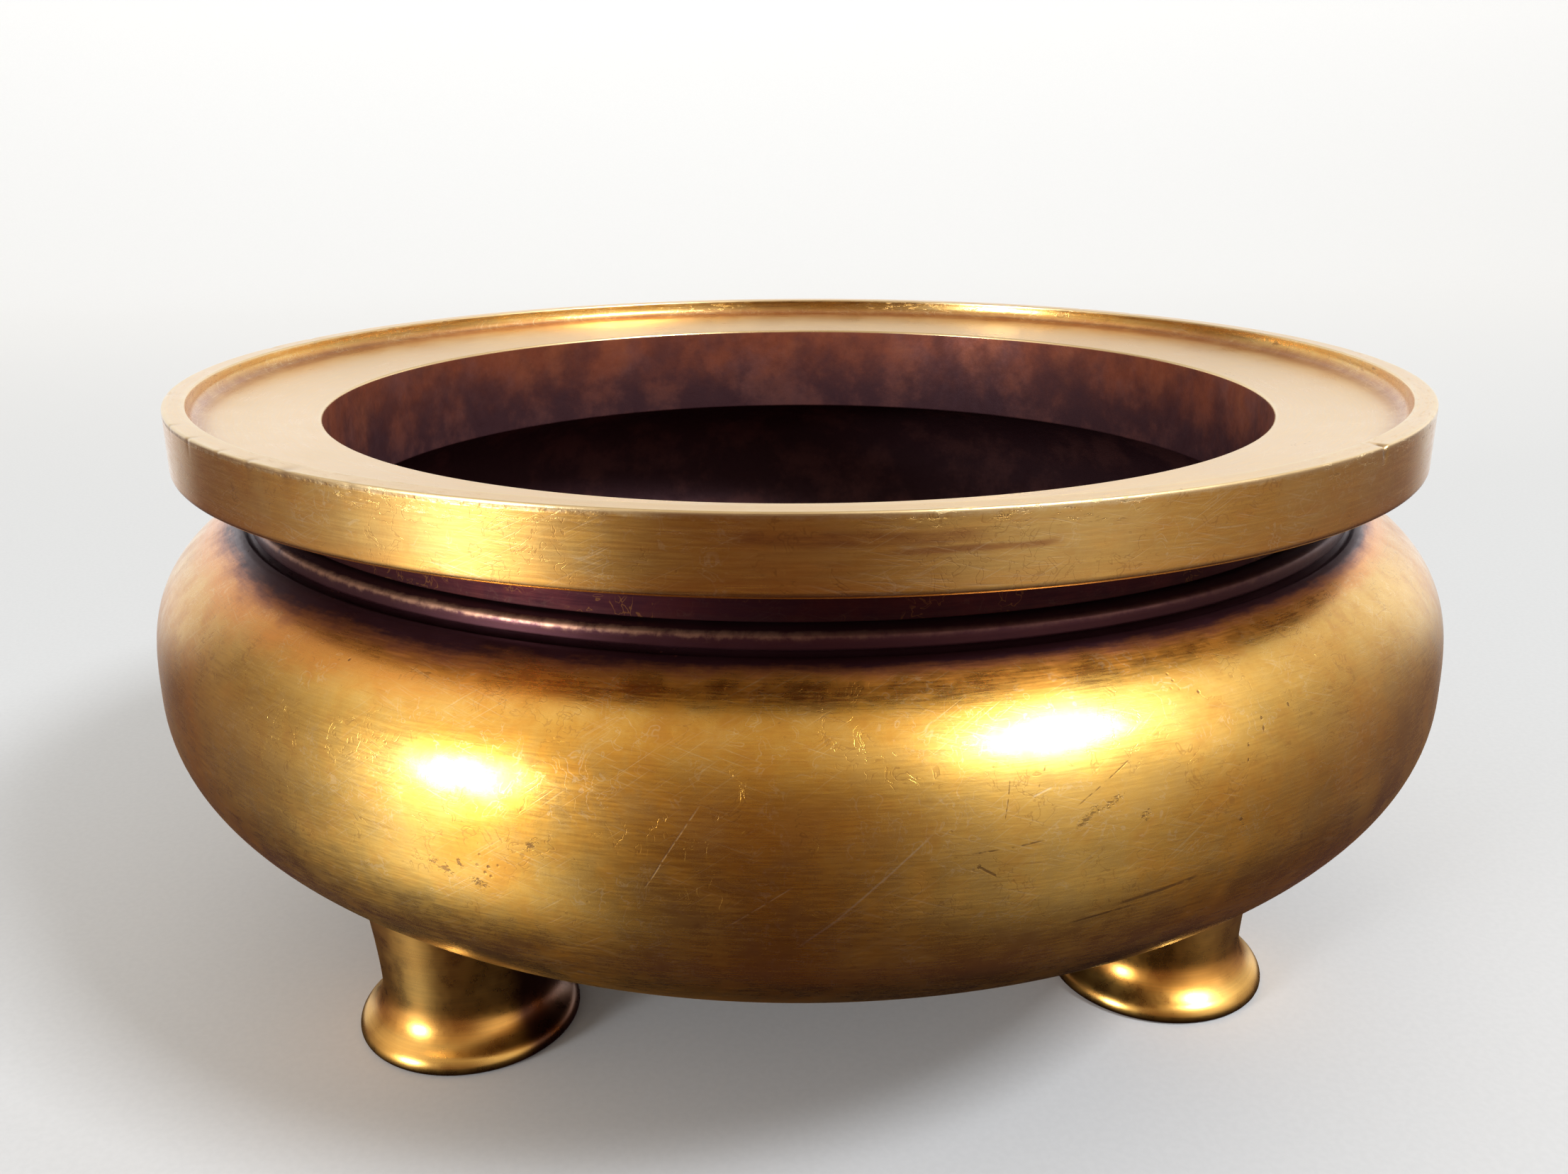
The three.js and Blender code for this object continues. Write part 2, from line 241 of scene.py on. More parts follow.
def corner_share(section, reach, closed):
    """How far each point of a section sits on a corner: the turn of the line, added up round the point
    with a bell curve of that reach, as a share of a right angle. Outer corners are positive."""
    following = np.roll(section, -1, axis=0) if closed else np.vstack([section[1:], section[-1:]])
    step = following - section
    heading = np.unwrap(np.arctan2(step[:, 1], step[:, 0]))
    if not closed:
        heading[-1] = heading[-2]
    turn = np.diff(heading, prepend=heading[-1] - 2 * np.pi if closed else heading[0])
    at = travelled(section)
    weight = np.exp(-0.5 * ((at[:, None] - at[None, :]) / reach) ** 2)
    return weight @ turn / (np.pi / 2)


def turned(section, angles, centre=(0.0, 0.0)):
    """Points of a section carried round an upright axis: (cx + r cos a, cy + r sin a, z), as rows along
    the section and columns round the axis."""
    r, z = np.moveaxis(section if section.ndim == 3 else section[:, None], -1, 0)
    x = centre[0] + r * np.cos(angles)
    y = centre[1] + r * np.sin(angles)
    return np.stack(np.broadcast_arrays(x, y, z + 0 * angles), axis=-1)


def grid_faces(rows, turns, closed, first=0):
    """Quads of a grid that is closed round the axis, and along the section if asked, facing out of an
    anticlockwise section."""
    i = np.arange(rows if closed else rows - 1)[:, None]
    j = np.arange(turns)[None, :]
    here, beside = i * turns + j, i * turns + (j + 1) % turns
    above = (i + 1) % rows * turns + j
    across = (i + 1) % rows * turns + (j + 1) % turns
    return np.stack([here, beside, across, above], axis=-1).reshape(-1, 4) + first


def pole_faces(pole, row, turns, upper):
    """Triangles between a pole on the axis and the row of points next to it."""
    j = np.arange(turns)
    here, beside = row * turns + j, row * turns + (j + 1) % turns
    sides = (here, beside) if upper else (beside, here)
    return np.column_stack([np.full(turns, pole), *sides])


def lay_marks(mesh, marks):
    """Writes one number for each vertex under each name, for the finishes to read."""
    for name, values in marks.items():
        attribute = mesh.attributes.new(name, "FLOAT", "POINT")
        attribute.data.foreach_set("value", np.ascontiguousarray(values, np.float32).ravel())


def make_piece(name, points, marks, finishes, zone=None, poles=None, closed=False):
    """A piece from a grid of points (rows, turns, 3). poles gives the heights of its two ends on the
    axis and their marks; zone gives the number of the finish for each row of faces."""
    rows, turns = points.shape[:2]
    vertices = points.reshape(-1, 3)
    faces = grid_faces(rows, turns, closed).tolist()
    zones = np.repeat(np.zeros(rows if closed else rows - 1, int) if zone is None else zone, turns)
    flat = {key: np.broadcast_to(value, (rows, turns)).reshape(-1) for key, value in marks.items()}
    if poles is not None:
        ends = np.array([[*points[row].mean(axis=0)[:2], z] for row, z in zip((0, -1), poles)])
        vertices = np.vstack([vertices, ends])
        count = rows * turns
        faces += pole_faces(count, 0, turns, False).tolist()
        faces += pole_faces(count + 1, rows - 1, turns, True).tolist()
        zones = np.concatenate([zones, np.full(turns, zones[0]), np.full(turns, zones[-1])])
        flat = {key: np.append(value, [value[0], value[-1]]) for key, value in flat.items()}
    mesh = bpy.data.meshes.new(name)
    mesh.from_pydata(vertices.tolist(), [], faces)
    mesh.polygons.foreach_set("material_index", zones.astype(np.int32))
    mesh.shade_smooth()
    lay_marks(mesh, flat)
    for finish in finishes:
        mesh.materials.append(finish)
    mesh.update()
    piece = bpy.data.objects.new(name, mesh)
    bpy.context.scene.collection.objects.link(piece)
    return piece


def ripple(angles, along, low_turns, high_turns, wave, count, seed):
    """A slow wave over a turned surface, from 0 to 1: the mean of several cosines, each with its own
    whole number of waves round the axis, its own wave length along the section and its own start."""
    draw = np.random.default_rng(seed)
    around = draw.integers(low_turns, high_turns, count)[:, None, None]
    pitch = (draw.uniform(-1, 1, count) / wave)[:, None, None]
    start = draw.uniform(0, 2 * np.pi, count)[:, None, None]
    total = np.cos(around * angles + 2 * np.pi * pitch * along[:, None] + start).mean(axis=0)
    return 0.5 + 0.5 * np.clip(total * np.sqrt(count) / 2, -1, 1)


def apart(angles, centre):
    """The signed angle from a place to each angle, within half a turn."""
    return (angles - centre + np.pi) % (2 * np.pi) - np.pi


# Bowl

# The slow waves in the belly: lengths along the section, turns round the axis, and how many
CALM_MIDDLE = 20 * MM             # from the middle of the underside, over which they grow
CALM_CREST = (14 * MM, 4 * MM)    # before the crest, over which they fade
WAVE_LENGTH = 45 * MM
WAVE_TURNS = (2, 9)
WAVES = 12
# Widths of the patina below the crest: in front, and how much more at the left and less at the right
PATINA_WIDTH = 2.1 * MM
PATINA_MORE_LEFT = 1.7 * MM
PATINA_LESS_RIGHT = 0.4 * MM
INSIDE_MARK = 20.0                # added to the distance in widths, to keep the patina off the inside


def bowl_section(sizes):
    """The bowl's section from the middle of its underside, out over the belly and the shoulder, through
    the groove, over the ridge and the collar, and down the inside, with the number of points of the
    outside. The groove is part of an ellipse, and its corners are eased as in eased()."""
    bore = sizes.mouth_radius + sizes.spigot_wall + sizes.fit_gap
    collar = bore + sizes.collar_wall + sizes.collar_ledge
    crest_radius = collar + sizes.crest_reach
    crest_angle = shoulder_angle(crest_radius, 0.0)
    crest_z = belly_arc(0.0, 0.0, crest_angle, BELLY_STEP)[-1, 1]
    ridge_z = crest_z + sizes.groove_rise
    sweep = np.radians(np.linspace(250, 180, 12))
    groove = np.column_stack([
        crest_radius + (sizes.crest_reach + sizes.groove_depth) * np.cos(sweep),
        ridge_z + (sizes.groove_rise + sizes.groove_drop) * np.sin(sweep),
    ])
    outside = belly_arc(0.0, -np.pi / 2, crest_angle, BELLY_STEP)
    inner = belly_arc(-sizes.bowl_wall, shoulder_angle(bore, -sizes.bowl_wall), -np.pi / 2, INSIDE_STEP)
    corners = [[collar, ridge_z], [collar, COLLAR_TOP], [bore, COLLAR_TOP],
               [bore, COLLAR_TOP - sizes.collar_ledge]]
    edge = sizes.edge_round
    ring = eased(corners, [edge, sizes.collar_roll, edge, 0.01 * MM])[:-(CORNER_STEPS + 3)]
    join = outside[-1:] + (groove[:1] - outside[-1:]) * CREST_JOIN
    lead = np.vstack([join, groove, [[collar - 2 * edge, ridge_z]]])
    detail = refined(np.vstack([lead, ring, inner[:1]]), DETAIL_STEP)
    section = np.vstack([outside[1:], detail[1:-1], inner[:-1]])
    return section, len(outside) - 1, len(outside) - 1 + len(detail) - 2


def make_bowl(sizes, finishes):
    """The bowl's shell, with its slow hand-turned waviness, and its patina's distance below the crest
    counted in widths of the patina, which is widest at the left."""
    section, crest, collar = bowl_section(sizes)
    angles = np.linspace(0, 2 * np.pi, BOWL_TURNS, endpoint=False)
    along = travelled(section)
    inside = np.arange(len(section)) >= collar
    fade_start, fade_end = (along[crest] - before for before in CALM_CREST)
    calm = smooth(along, 0, CALM_MIDDLE) * (1 - smooth(along, fade_start, fade_end))
    waves = ripple(angles, along, *WAVE_TURNS, WAVE_LENGTH, WAVES, SEED)
    dips = waves * sizes.waviness * calm[:, None]
    r = section[:, 0][:, None] - dips
    z = np.broadcast_to(section[:, 1][:, None], r.shape)
    points = turned(np.stack([r, z], axis=-1), angles)
    beside = apart(angles, np.radians(FRONT))
    left_share = smooth(-beside, 0.15, 0.7) * (1 - 0.6 * smooth(-beside, 0.85, 1.2))
    width = PATINA_WIDTH + PATINA_MORE_LEFT * left_share - PATINA_LESS_RIGHT * smooth(beside, 0.3, 0.9)
    marks = {
        "along": along[:, None],
        "edge": np.clip(corner_share(section, 0.45 * MM, False), 0, 1)[:, None],
        "shoulder": np.clip((along[crest] - along[:, None]) / width, -3, 12) + INSIDE_MARK * inside[:, None],
    }
    zone = inside[:-1].astype(int)
    poles = (BELLY_BOTTOM, BELLY_BOTTOM + sizes.bowl_wall)
    shell = make_piece("bowl_shell", points, marks, finishes, zone, poles)
    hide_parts("bowl")
    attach(shell, "root")


def place_of(name):
    """The axis of a foot, from the box of its node: the middle of the pad, seen from above."""
    low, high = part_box(f"foot_{name}")
    return (low.x + high.x) / 2, (low.y + high.y) / 2


def make_boss(sizes, place, finish):
    """A flat round boss inside the bowl: a ring with eased upper edges whose foot is sunk to the middle
    of the bowl's wall, so its lowest rows follow the belly's curve."""
    centre = np.array(place_of(place))
    top = WASHER_BOX[0].z - sizes.fit_gap
    angles = np.linspace(0, 2 * np.pi, BOSS_TURNS, endpoint=False)
    low = top - 6.5 * MM
    outer, hole = sizes.boss_radius, sizes.hole_radius
    outline = [[outer, low], [outer, top], [hole, top], [hole, low]]
    section = refined(eased(outline, [HOLD, 0.9 * MM, 0.3 * MM, HOLD]), 2 * DETAIL_STEP)
    points = turned(section, angles, centre)
    radius = np.hypot(points[..., 0], points[..., 1])
    points[..., 2] = np.maximum(points[..., 2], underside(radius, -sizes.bowl_wall / 2))
    boss = make_piece(f"bowl_boss_{place}", points, {}, [finish], closed=True)
    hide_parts("bowl")
    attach(boss, "root")


# Rim

# Dents in the lip: degrees from +X, depth and half width in millimetres
LIP_DENTS = ((-50.0, 0.5, 0.42), (-148.6, 0.1, 0.45), (-142.5, 0.09, 0.4), (-138.0, 0.11, 0.5))
SMALL_DENTS = 10
DENT_STEPS = 12
DENT_INWARDS = 0.6                # shares of a dent's depth
DENT_DOWNWARDS = 0.8


def rim_section(sizes):
    """The rim's closed section, anticlockwise from the middle of its seat: neck, underside, upright band,
    lip, tray, mouth and spigot, with every corner eased, and finely stepped flats."""
    spigot = sizes.mouth_radius + sizes.spigot_wall
    neck = spigot + sizes.fit_gap + sizes.collar_wall
    seat = COLLAR_TOP + sizes.fit_gap
    bottom = RIM_TOP - sizes.fascia_height
    lip = RIM_RADIUS - sizes.lip_width
    tray = RIM_TOP - sizes.lip_rise
    mouth = tray - sizes.tray_fall
    edge = sizes.edge_round
    corners = [
        ([neck, seat], edge / 2),
        ([neck, bottom], sizes.neck_fillet),
        ([RIM_RADIUS, bottom], sizes.fascia_round),
        ([RIM_RADIUS, RIM_TOP], edge),
        ([lip, RIM_TOP], edge),
        ([lip, tray], sizes.tray_fillet),
        ([sizes.mouth_radius, mouth], 1.4 * edge),
        ([sizes.mouth_radius, SPIGOT_BOTTOM], edge),
        ([spigot, SPIGOT_BOTTOM], edge),
        ([spigot, seat], edge / 2),
    ]
    ring = eased([place for place, _ in corners], [reach for _, reach in corners])
    middle = (ring[:1] + ring[-1:]) / 2
    return refined(np.vstack([middle, ring, middle]), FLAT_STEP)[:-1]


def make_rim(sizes, finishes):
    """The rim, with its lip's dents: each lowers and draws in the lip's outer corner by its depth, under
    a bell curve round the rim and another along the section."""
    section = rim_section(sizes)
    draw = np.random.default_rng(SEED)
    ranges = ((-180, 180), (0.04, 0.1), (0.35, 0.8))
    small = np.column_stack([draw.uniform(low, high, SMALL_DENTS) for low, high in ranges])
    dents = np.vstack([LIP_DENTS, small])
    centres, depths, widths = np.radians(dents[:, 0]), dents[:, 1] * MM, dents[:, 2] * MM
    near = np.linspace(-3, 3, DENT_STEPS + 1)[None, :] * widths[:, None] / RIM_RADIUS
    even = np.linspace(-np.pi, np.pi, RIM_TURNS, endpoint=False)
    angles = np.unique(np.round(np.concatenate([even, (centres[:, None] + near).ravel()]), 5))
    along = travelled(section)
    corner_at = along[np.argmin(np.hypot(section[:, 0] - RIM_RADIUS, section[:, 1] - RIM_TOP))]
    dent = np.zeros((len(section), len(angles)))
    for centre, depth, width in zip(centres, depths, widths):
        around = np.exp(-0.5 * (apart(angles, centre) * RIM_RADIUS / width) ** 2)
        spread = np.exp(-0.5 * ((along - corner_at) / (1.5 * width)) ** 2)
        dent += depth * spread[:, None] * around[None, :]
    r = section[:, 0][:, None] - DENT_INWARDS * dent
    z = section[:, 1][:, None] - DENT_DOWNWARDS * dent
    points = turned(np.stack([r, z], axis=-1), angles)
    radius, height = section.T
    low_band = RIM_TOP - sizes.fascia_height
    tray = 1 - smooth(radius, RIM_RADIUS - sizes.lip_width - 1.6 * MM, RIM_RADIUS - sizes.lip_width)
    tray *= smooth(height, RIM_TOP - 6 * MM, RIM_TOP - 4.5 * MM)
    neck = 1 - smooth(height, low_band + 0.1 * MM, low_band + 0.9 * MM)
    neck *= 1 - 0.5 * smooth(radius, RIM_RADIUS - 14 * MM, RIM_RADIUS - 6 * MM)
    marks = {
        "along": along[:, None],
        "edge": np.clip(corner_share(section, 0.4 * MM, True), 0, 1)[:, None],
        "hollow": np.clip(-1.3 * corner_share(section, 1.3 * MM, True), 0, 1)[:, None],
        "tray": tray[:, None],
        "neck": neck[:, None],
        "dent": dent / (0.2 * MM),
    }
    mouth_edge = RIM_TOP - sizes.lip_rise - sizes.tray_fall - 0.3 * MM
    zone = (radius < sizes.mouth_radius + 0.1 * MM) & (height < mouth_edge)
    zone |= height < COLLAR_TOP - 0.1 * MM
    ring = make_piece("rim_ring", points, marks, finishes, zone.astype(int), closed=True)
    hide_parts("rim")
    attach(ring, "root")


# Feet

# How strongly painted shade darkens the side of each foot that faces the middle
FOOT_SHADE_SHARE = {"front_left": 1.0, "front_right": 0.35, "rear": 0.7}


def foot_grid(sizes, angles, centre):
    """A spool foot as a grid. The pad's edge and roll are quarter ellipses, the waist is a cubic curve
    that eases into the stem, and the stem's radius is waist + flare (z / waist height - 1)^1.5. The
    stem's rows are stretched to meet the belly's underside at each angle, found by going round
    radius -> height -> radius a few times, and the top follows the belly inwards to the axis."""
    base = PAD_RADIUS - sizes.pad_edge
    rim = np.radians(np.linspace(-90, 0, 8))
    edge = np.column_stack([base + sizes.pad_edge * np.cos(rim), sizes.pad_edge * (1 + np.sin(rim))])
    roll = np.radians(np.linspace(2, 46, 16))
    flare = PAD_RADIUS - sizes.stem_radius
    shoulder = np.column_stack([sizes.stem_radius + flare * np.cos(roll),
                                sizes.pad_edge + (sizes.pad_height - sizes.pad_edge) * np.sin(roll)])
    heading = shoulder[-1] - shoulder[-2]
    heading *= sizes.waist_ease / np.linalg.norm(heading)
    waist = np.array([sizes.stem_radius, sizes.waist_height])
    handles = [shoulder[-1], shoulder[-1] + heading, waist - [0, sizes.waist_ease], waist]
    t = np.linspace(0, 1, 16)[1:, None]
    bend = ((1 - t) ** 3 * handles[0] + 3 * t * (1 - t) ** 2 * handles[1]
            + 3 * t ** 2 * (1 - t) * handles[2] + t ** 3 * handles[3])
    sole = np.column_stack([np.linspace(0.2, 0.98, 6) * base, np.zeros(6)])
    lower = np.vstack([sole, edge, shoulder, bend])

    def stem_radius(z):
        return sizes.stem_radius + sizes.top_flare * np.maximum(z / sizes.waist_height - 1, 0) ** 1.5

    def from_axis(r):
        return np.hypot(centre[0] + r * np.cos(angles), centre[1] + r * np.sin(angles))

    top = np.full(angles.shape, 30 * MM)
    for _ in range(12):
        top = underside(from_axis(stem_radius(top)), sizes.foot_gap)
    share_up = np.linspace(0, 1, 34)[1:, None]
    stem_z = sizes.waist_height + (top - sizes.waist_height) * share_up
    stem = np.stack([stem_radius(stem_z), stem_z], axis=-1)
    share_in = np.linspace(0.985, 0.08, 12)[:, None]
    cap_r = stem_radius(top) * share_in
    cap = np.stack([cap_r, underside(from_axis(cap_r), sizes.foot_gap)], axis=-1)
    wide = np.broadcast_to(lower[:, None], (len(lower), len(angles), 2))
    return np.concatenate([wide, stem, cap]), len(lower) + len(stem)


def make_foot(sizes, place, finish):
    """One spool foot, closed at its sole and at its top, which lies along the belly."""
    centre = place_of(place)
    angles = np.linspace(0, 2 * np.pi, FOOT_TURNS, endpoint=False)
    section, stem_end = foot_grid(sizes, angles, centre)
    points = turned(section, angles, centre)
    along = travelled(section)
    top = underside(np.hypot(*centre), sizes.foot_gap)
    middle = section[:, 0]
    inwards = np.arctan2(-centre[1], -centre[0])
    # Painted shade on the side of the foot that faces the middle of the burner
    shaded_side = smooth(np.cos(angles - inwards), -0.15, 0.4)
    marks = {
        "along": along,
        "inner": FOOT_SHADE_SHARE[place] * shaded_side[None, :],
        "hollow": np.clip(-2.2 * corner_share(middle, 1.6 * MM, False), 0, 1)[:, None],
        # Painted shade: redder towards the top of the stem, under the belly
        "shade_below_belly": np.clip((along[stem_end - 1] - along) / (10 * MM), 0, 3),
    }
    foot = make_piece(f"foot_{place}_spool", points, marks, [finish], poles=(0.0, top))
    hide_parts(f"foot_{place}")
    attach(foot, "root")


# Shader graphs


class Graph:
    """A node tree with short ways to add to it. put gives back its node, feed gives back nothing, and
    the others give back the output of what they add."""

    def __init__(self, tree):
        self.tree = tree

    def put(self, kind, **settings):
        node = self.tree.nodes.new(kind)
        for name, value in settings.items():
            setattr(node, name, value)
        return node

    def feed(self, socket, value):
        """Links an output to the socket, or sets the socket's own value."""
        if isinstance(value, bpy.types.NodeSocket):
            self.tree.links.new(value, socket)
        elif hasattr(value, "__len__") and len(value) == 3 and socket.type == "RGBA":
            socket.default_value = (*value, 1.0)
        else:
            socket.default_value = value

    def math(self, operation, *values):
        node = self.put("ShaderNodeMath", operation=operation)
        for socket, value in zip(node.inputs, values):
            self.feed(socket, value)
        return node.outputs[0]

    def in_turn(self, operation, values):
        """One operation with two inputs, carried over several values."""
        result = values[0]
        for value in values[1:]:
            result = self.math(operation, result, value)
        return result

    def times(self, *values):
        return self.in_turn("MULTIPLY", values)

    def plus(self, *values):
        return self.in_turn("ADD", values)

    def highest(self, *values):
        return self.in_turn("MAXIMUM", values)

    def minus(self, first, second):
        return self.math("SUBTRACT", first, second)

    def over(self, first, second):
        return self.math("DIVIDE", first, second)

    def less(self, value):
        """What a share leaves of the whole."""
        return self.minus(1.0, value)

    def swing(self, noise, amount):
        """How far a noise is from its middle, times an amount."""
        return self.times(self.minus(noise, 0.5), amount)

    def weighed(self, *terms):
        """The sum of values, each times what stands beside it."""
        return self.plus(*(self.times(*term) for term in terms))

    def distance(self, x, y):
        return self.math("SQRT", self.plus(self.times(x, x), self.times(y, y)))

    def span(self, value, low, high, start=0.0, end=1.0):
        """A smooth step from start, where the value is low, to end, where it is high."""
        node = self.put("ShaderNodeMapRange", interpolation_type="SMOOTHSTEP")
        for socket, number in zip(node.inputs, (value, low, high, start, end)):
            self.feed(socket, number)
        return node.outputs[0]

    def blend(self, amount, first, second, blend_type="MIX"):
        node = self.put("ShaderNodeMix", data_type="RGBA", blend_type=blend_type, clamp_factor=True)
        for index, value in ((0, amount), (6, first), (7, second)):
            self.feed(node.inputs[index], value)
        return node.outputs[2]

    def paint(self, colour, *layers):
        """A colour under several layers, each given as its amount and its tone."""
        for amount, tone in layers:
            colour = self.blend(amount, colour, tone)
        return colour

    def vector(self, x, y, z):
        node = self.put("ShaderNodeCombineXYZ")
        for socket, value in zip(node.inputs, (x, y, z)):
            self.feed(socket, value)
        return node.outputs[0]

    def noise(self, vector, scale=1.0, detail=2.0, roughness=0.5, distortion=0.0):
        node = self.put("ShaderNodeTexNoise")
        values = {"Vector": vector, "Scale": scale, "Detail": detail, "Roughness": roughness,
                  "Distortion": distortion}
        for name, value in values.items():
            self.feed(node.inputs[name], value)
        return node.outputs[0]

    def grain(self, scale, **settings):
        """Noise with no direction, on Object coordinates."""
        return self.noise(self.position(), scale=scale, **settings)

    def cells(self, vector, scale):
        node = self.put("ShaderNodeTexVoronoi")
        self.feed(node.inputs["Vector"], vector)
        self.feed(node.inputs["Scale"], scale)
        return node.outputs["Distance"]

    def mark(self, name):
        """A number that lay_marks wrote for each vertex."""
        return self.put("ShaderNodeAttribute", attribute_name=name).outputs["Fac"]

    def position(self):
        return self.put("ShaderNodeTexCoord").outputs["Object"]

    def parts(self, vector):
        node = self.put("ShaderNodeSeparateXYZ")
        self.feed(node.inputs[0], vector)
        return node.outputs

    def group(self, name, **values):
        """A listed shader group with its own input values."""
        node = self.put("ShaderNodeGroup", node_tree=group_tree(name))
        for label, value in values.items():
            self.feed(node.inputs[label.title()], value)
        return node.outputs


# What fills each shader group, by its name: its outputs, its number inputs, and the function
SHADER_GROUPS = {}


def shader_group(name, outputs, **inputs):
    """Lists the function below it as what fills a shader group. It is given the group's graph and its
    inputs, whose defaults stand here, and gives back the values of the outputs."""
    def listed(fill):
        SHADER_GROUPS[name] = (outputs, inputs, fill)
        return fill
    return listed


def group_tree(name):
    """The node tree of a listed group, built when it is first asked for."""
    if name in bpy.data.node_groups:
        return bpy.data.node_groups[name]
    outputs, inputs, fill = SHADER_GROUPS[name]
    tree = bpy.data.node_groups.new(name, "ShaderNodeTree")
    for label, default in inputs.items():
        socket = tree.interface.new_socket(label.title(), in_out="INPUT", socket_type="NodeSocketFloat")
        socket.default_value = default
    for label in outputs:
        tree.interface.new_socket(label, in_out="OUTPUT", socket_type="NodeSocketFloat")
    graph = Graph(tree)
    results = fill(graph, graph.put("NodeGroupInput").outputs)
    sink = graph.put("NodeGroupOutput")
    for label, value in zip(outputs, results):
        graph.feed(sink.inputs[label], value)
    return tree


def around_place(graph, length, spacing, lift=None):
    """A place for patterns that run round a turned piece: (x / length, y / length, along / spacing), so
    that a pattern is long round the axis and short along the section, with no seam."""
    x, y, _ = graph.parts(graph.position())
    along = graph.mark("along") if lift is None else graph.plus(graph.mark("along"), lift)
    return graph.vector(graph.over(x, length), graph.over(y, length), graph.over(along, spacing))


def arc_place(graph):
    """(angle from the front, positive to the right, distance from the axis) of a point."""
    x, y, _ = graph.parts(graph.position())
    return graph.math("ARCTAN2", x, graph.times(y, -1.0)), graph.distance(x, y)


@shader_group("Lathe Marks", ("Fine", "Broad"), length=8 * MM, spacing=0.35 * MM)
def lathe_marks(graph, given):
    """Turning and brushing marks: noise stretched round the axis, fine and broad, about 0.5."""
    length, spacing = given["Length"], given["Spacing"]
    fine = graph.noise(around_place(graph, length, spacing), detail=3.0, roughness=0.65)
    wide_place = around_place(graph, graph.times(length, 5.0), graph.times(spacing, 9.0))
    return fine, graph.noise(wide_place, detail=3.0)


@shader_group("Cloudy Patina", ("Mask",), cover=0.5, size=10 * MM, raggedness=1.0, softness=0.2)
def cloudy_patina(graph, given):
    """Ragged patches: the cover plus noise of that size, cut where it passes a half."""
    noise = graph.grain(graph.over(1.0, given["Size"]), detail=7.0, roughness=0.62)
    level = graph.plus(given["Cover"], graph.swing(noise, given["Raggedness"]))
    return (graph.span(level, graph.minus(0.5, given["Softness"]), graph.plus(given["Softness"], 0.5)),)


@shader_group("Worn Edges", ("Mask",), amount=1.0, grain=900.0)
def worn_edges(graph, given):
    """Where handling has rubbed the outer corners bright: the edge mark, broken up by noise."""
    noise = graph.grain(given["Grain"], detail=5.0, roughness=0.7)
    level = graph.plus(graph.times(graph.mark("edge"), given["Amount"]), graph.minus(noise, 0.5))
    return (graph.span(level, 0.35, 0.8),)


@shader_group("Hairlines", ("Rising", "Falling", "Level"), slope=0.35, length=6 * MM,
              spacing=0.22 * MM, share=0.4)
def hairlines(graph, given):
    """Fine scratches at three slopes to the turning marks: thin crests of stretched noise, in patches."""
    angle, radius = arc_place(graph)
    patches = graph.span(graph.grain(90.0, detail=2.0), 0.36, 0.6)
    masks = []
    for steepness in (1.0, -2.0, 0.2):
        lift = graph.times(angle, radius, given["Slope"], steepness)
        place = around_place(graph, given["Length"], given["Spacing"], lift)
        crest = graph.span(graph.noise(place, detail=1.0), graph.less(given["Share"]), 0.78)
        masks.append(graph.times(crest, patches))
    return masks


@shader_group("Pits", ("Mask",), spacing=0.9 * MM, share=0.3)
def pits(graph, given):
    """Small pits in clusters: the middles of random cells, kept where a slow noise is high."""
    centres = graph.cells(graph.position(), graph.over(1.0, given["Spacing"]))
    spot = graph.less(graph.span(centres, 0.08, 0.26))
    cluster = graph.grain(graph.over(0.12, given["Spacing"]), detail=3.0)
    least = graph.less(given["Share"])
    return (graph.times(spot, graph.span(cluster, least, graph.plus(least, 0.06))),)


@shader_group("Squiggles", ("Light", "Brown"), size=2.4 * MM, width=0.018)
def squiggles(graph, given):
    """Wandering hairlines, light and brown: where a noise of that size passes two middle values, kept
    where a slower noise is high, and where it is low."""
    spread = graph.over(1.0, given["Size"])
    wander = graph.grain(spread, detail=2.0, roughness=0.6, distortion=0.9)
    patches = graph.grain(graph.times(spread, 0.28), detail=2.0, roughness=0.6)
    high, low = graph.span(patches, 0.5, 0.58), graph.span(patches, 0.42, 0.5, 1.0, 0.0)
    masks = []
    for level, kept in ((0.52, high), (0.47, low)):
        off = graph.math("ABSOLUTE", graph.minus(wander, level))
        line = graph.less(graph.span(off, graph.times(given["Width"], 0.4), given["Width"]))
        masks.append(graph.times(line, kept))
    return masks


def line_place(graph, given):
    """The distances along and across a line through a place at (angle from the front, length along the
    section), turned by an angle."""
    angle, radius = arc_place(graph)
    u = graph.times(graph.minus(angle, given["Around"]), radius)
    v = graph.minus(graph.mark("along"), given["Along"])
    cosine, sine = graph.math("COSINE", given["Turn"]), graph.math("SINE", given["Turn"])
    return (graph.plus(graph.times(u, cosine), graph.times(v, sine)),
            graph.minus(graph.times(v, cosine), graph.times(u, sine)))


@shader_group("Smudge", ("Mask",), around=0.0, along=0.0, turn=0.0, length=3 * MM, width=1.5 * MM,
              density=0.14, strokes=0.5)
def smudge(graph, given):
    """Short dark strokes inside an ellipse round a place, denser in its middle: the given noise, cut
    where it passes a level."""
    lengthwise, crosswise = line_place(graph, given)
    away = graph.distance(graph.over(lengthwise, given["Length"]), graph.over(crosswise, given["Width"]))
    near = graph.less(graph.span(away, 0.0, 1.0))
    level = graph.plus(given["Strokes"], graph.times(near, given["Density"]))
    return (graph.times(graph.span(level, 0.6, 0.67), graph.span(near, 0.02, 0.2)),)


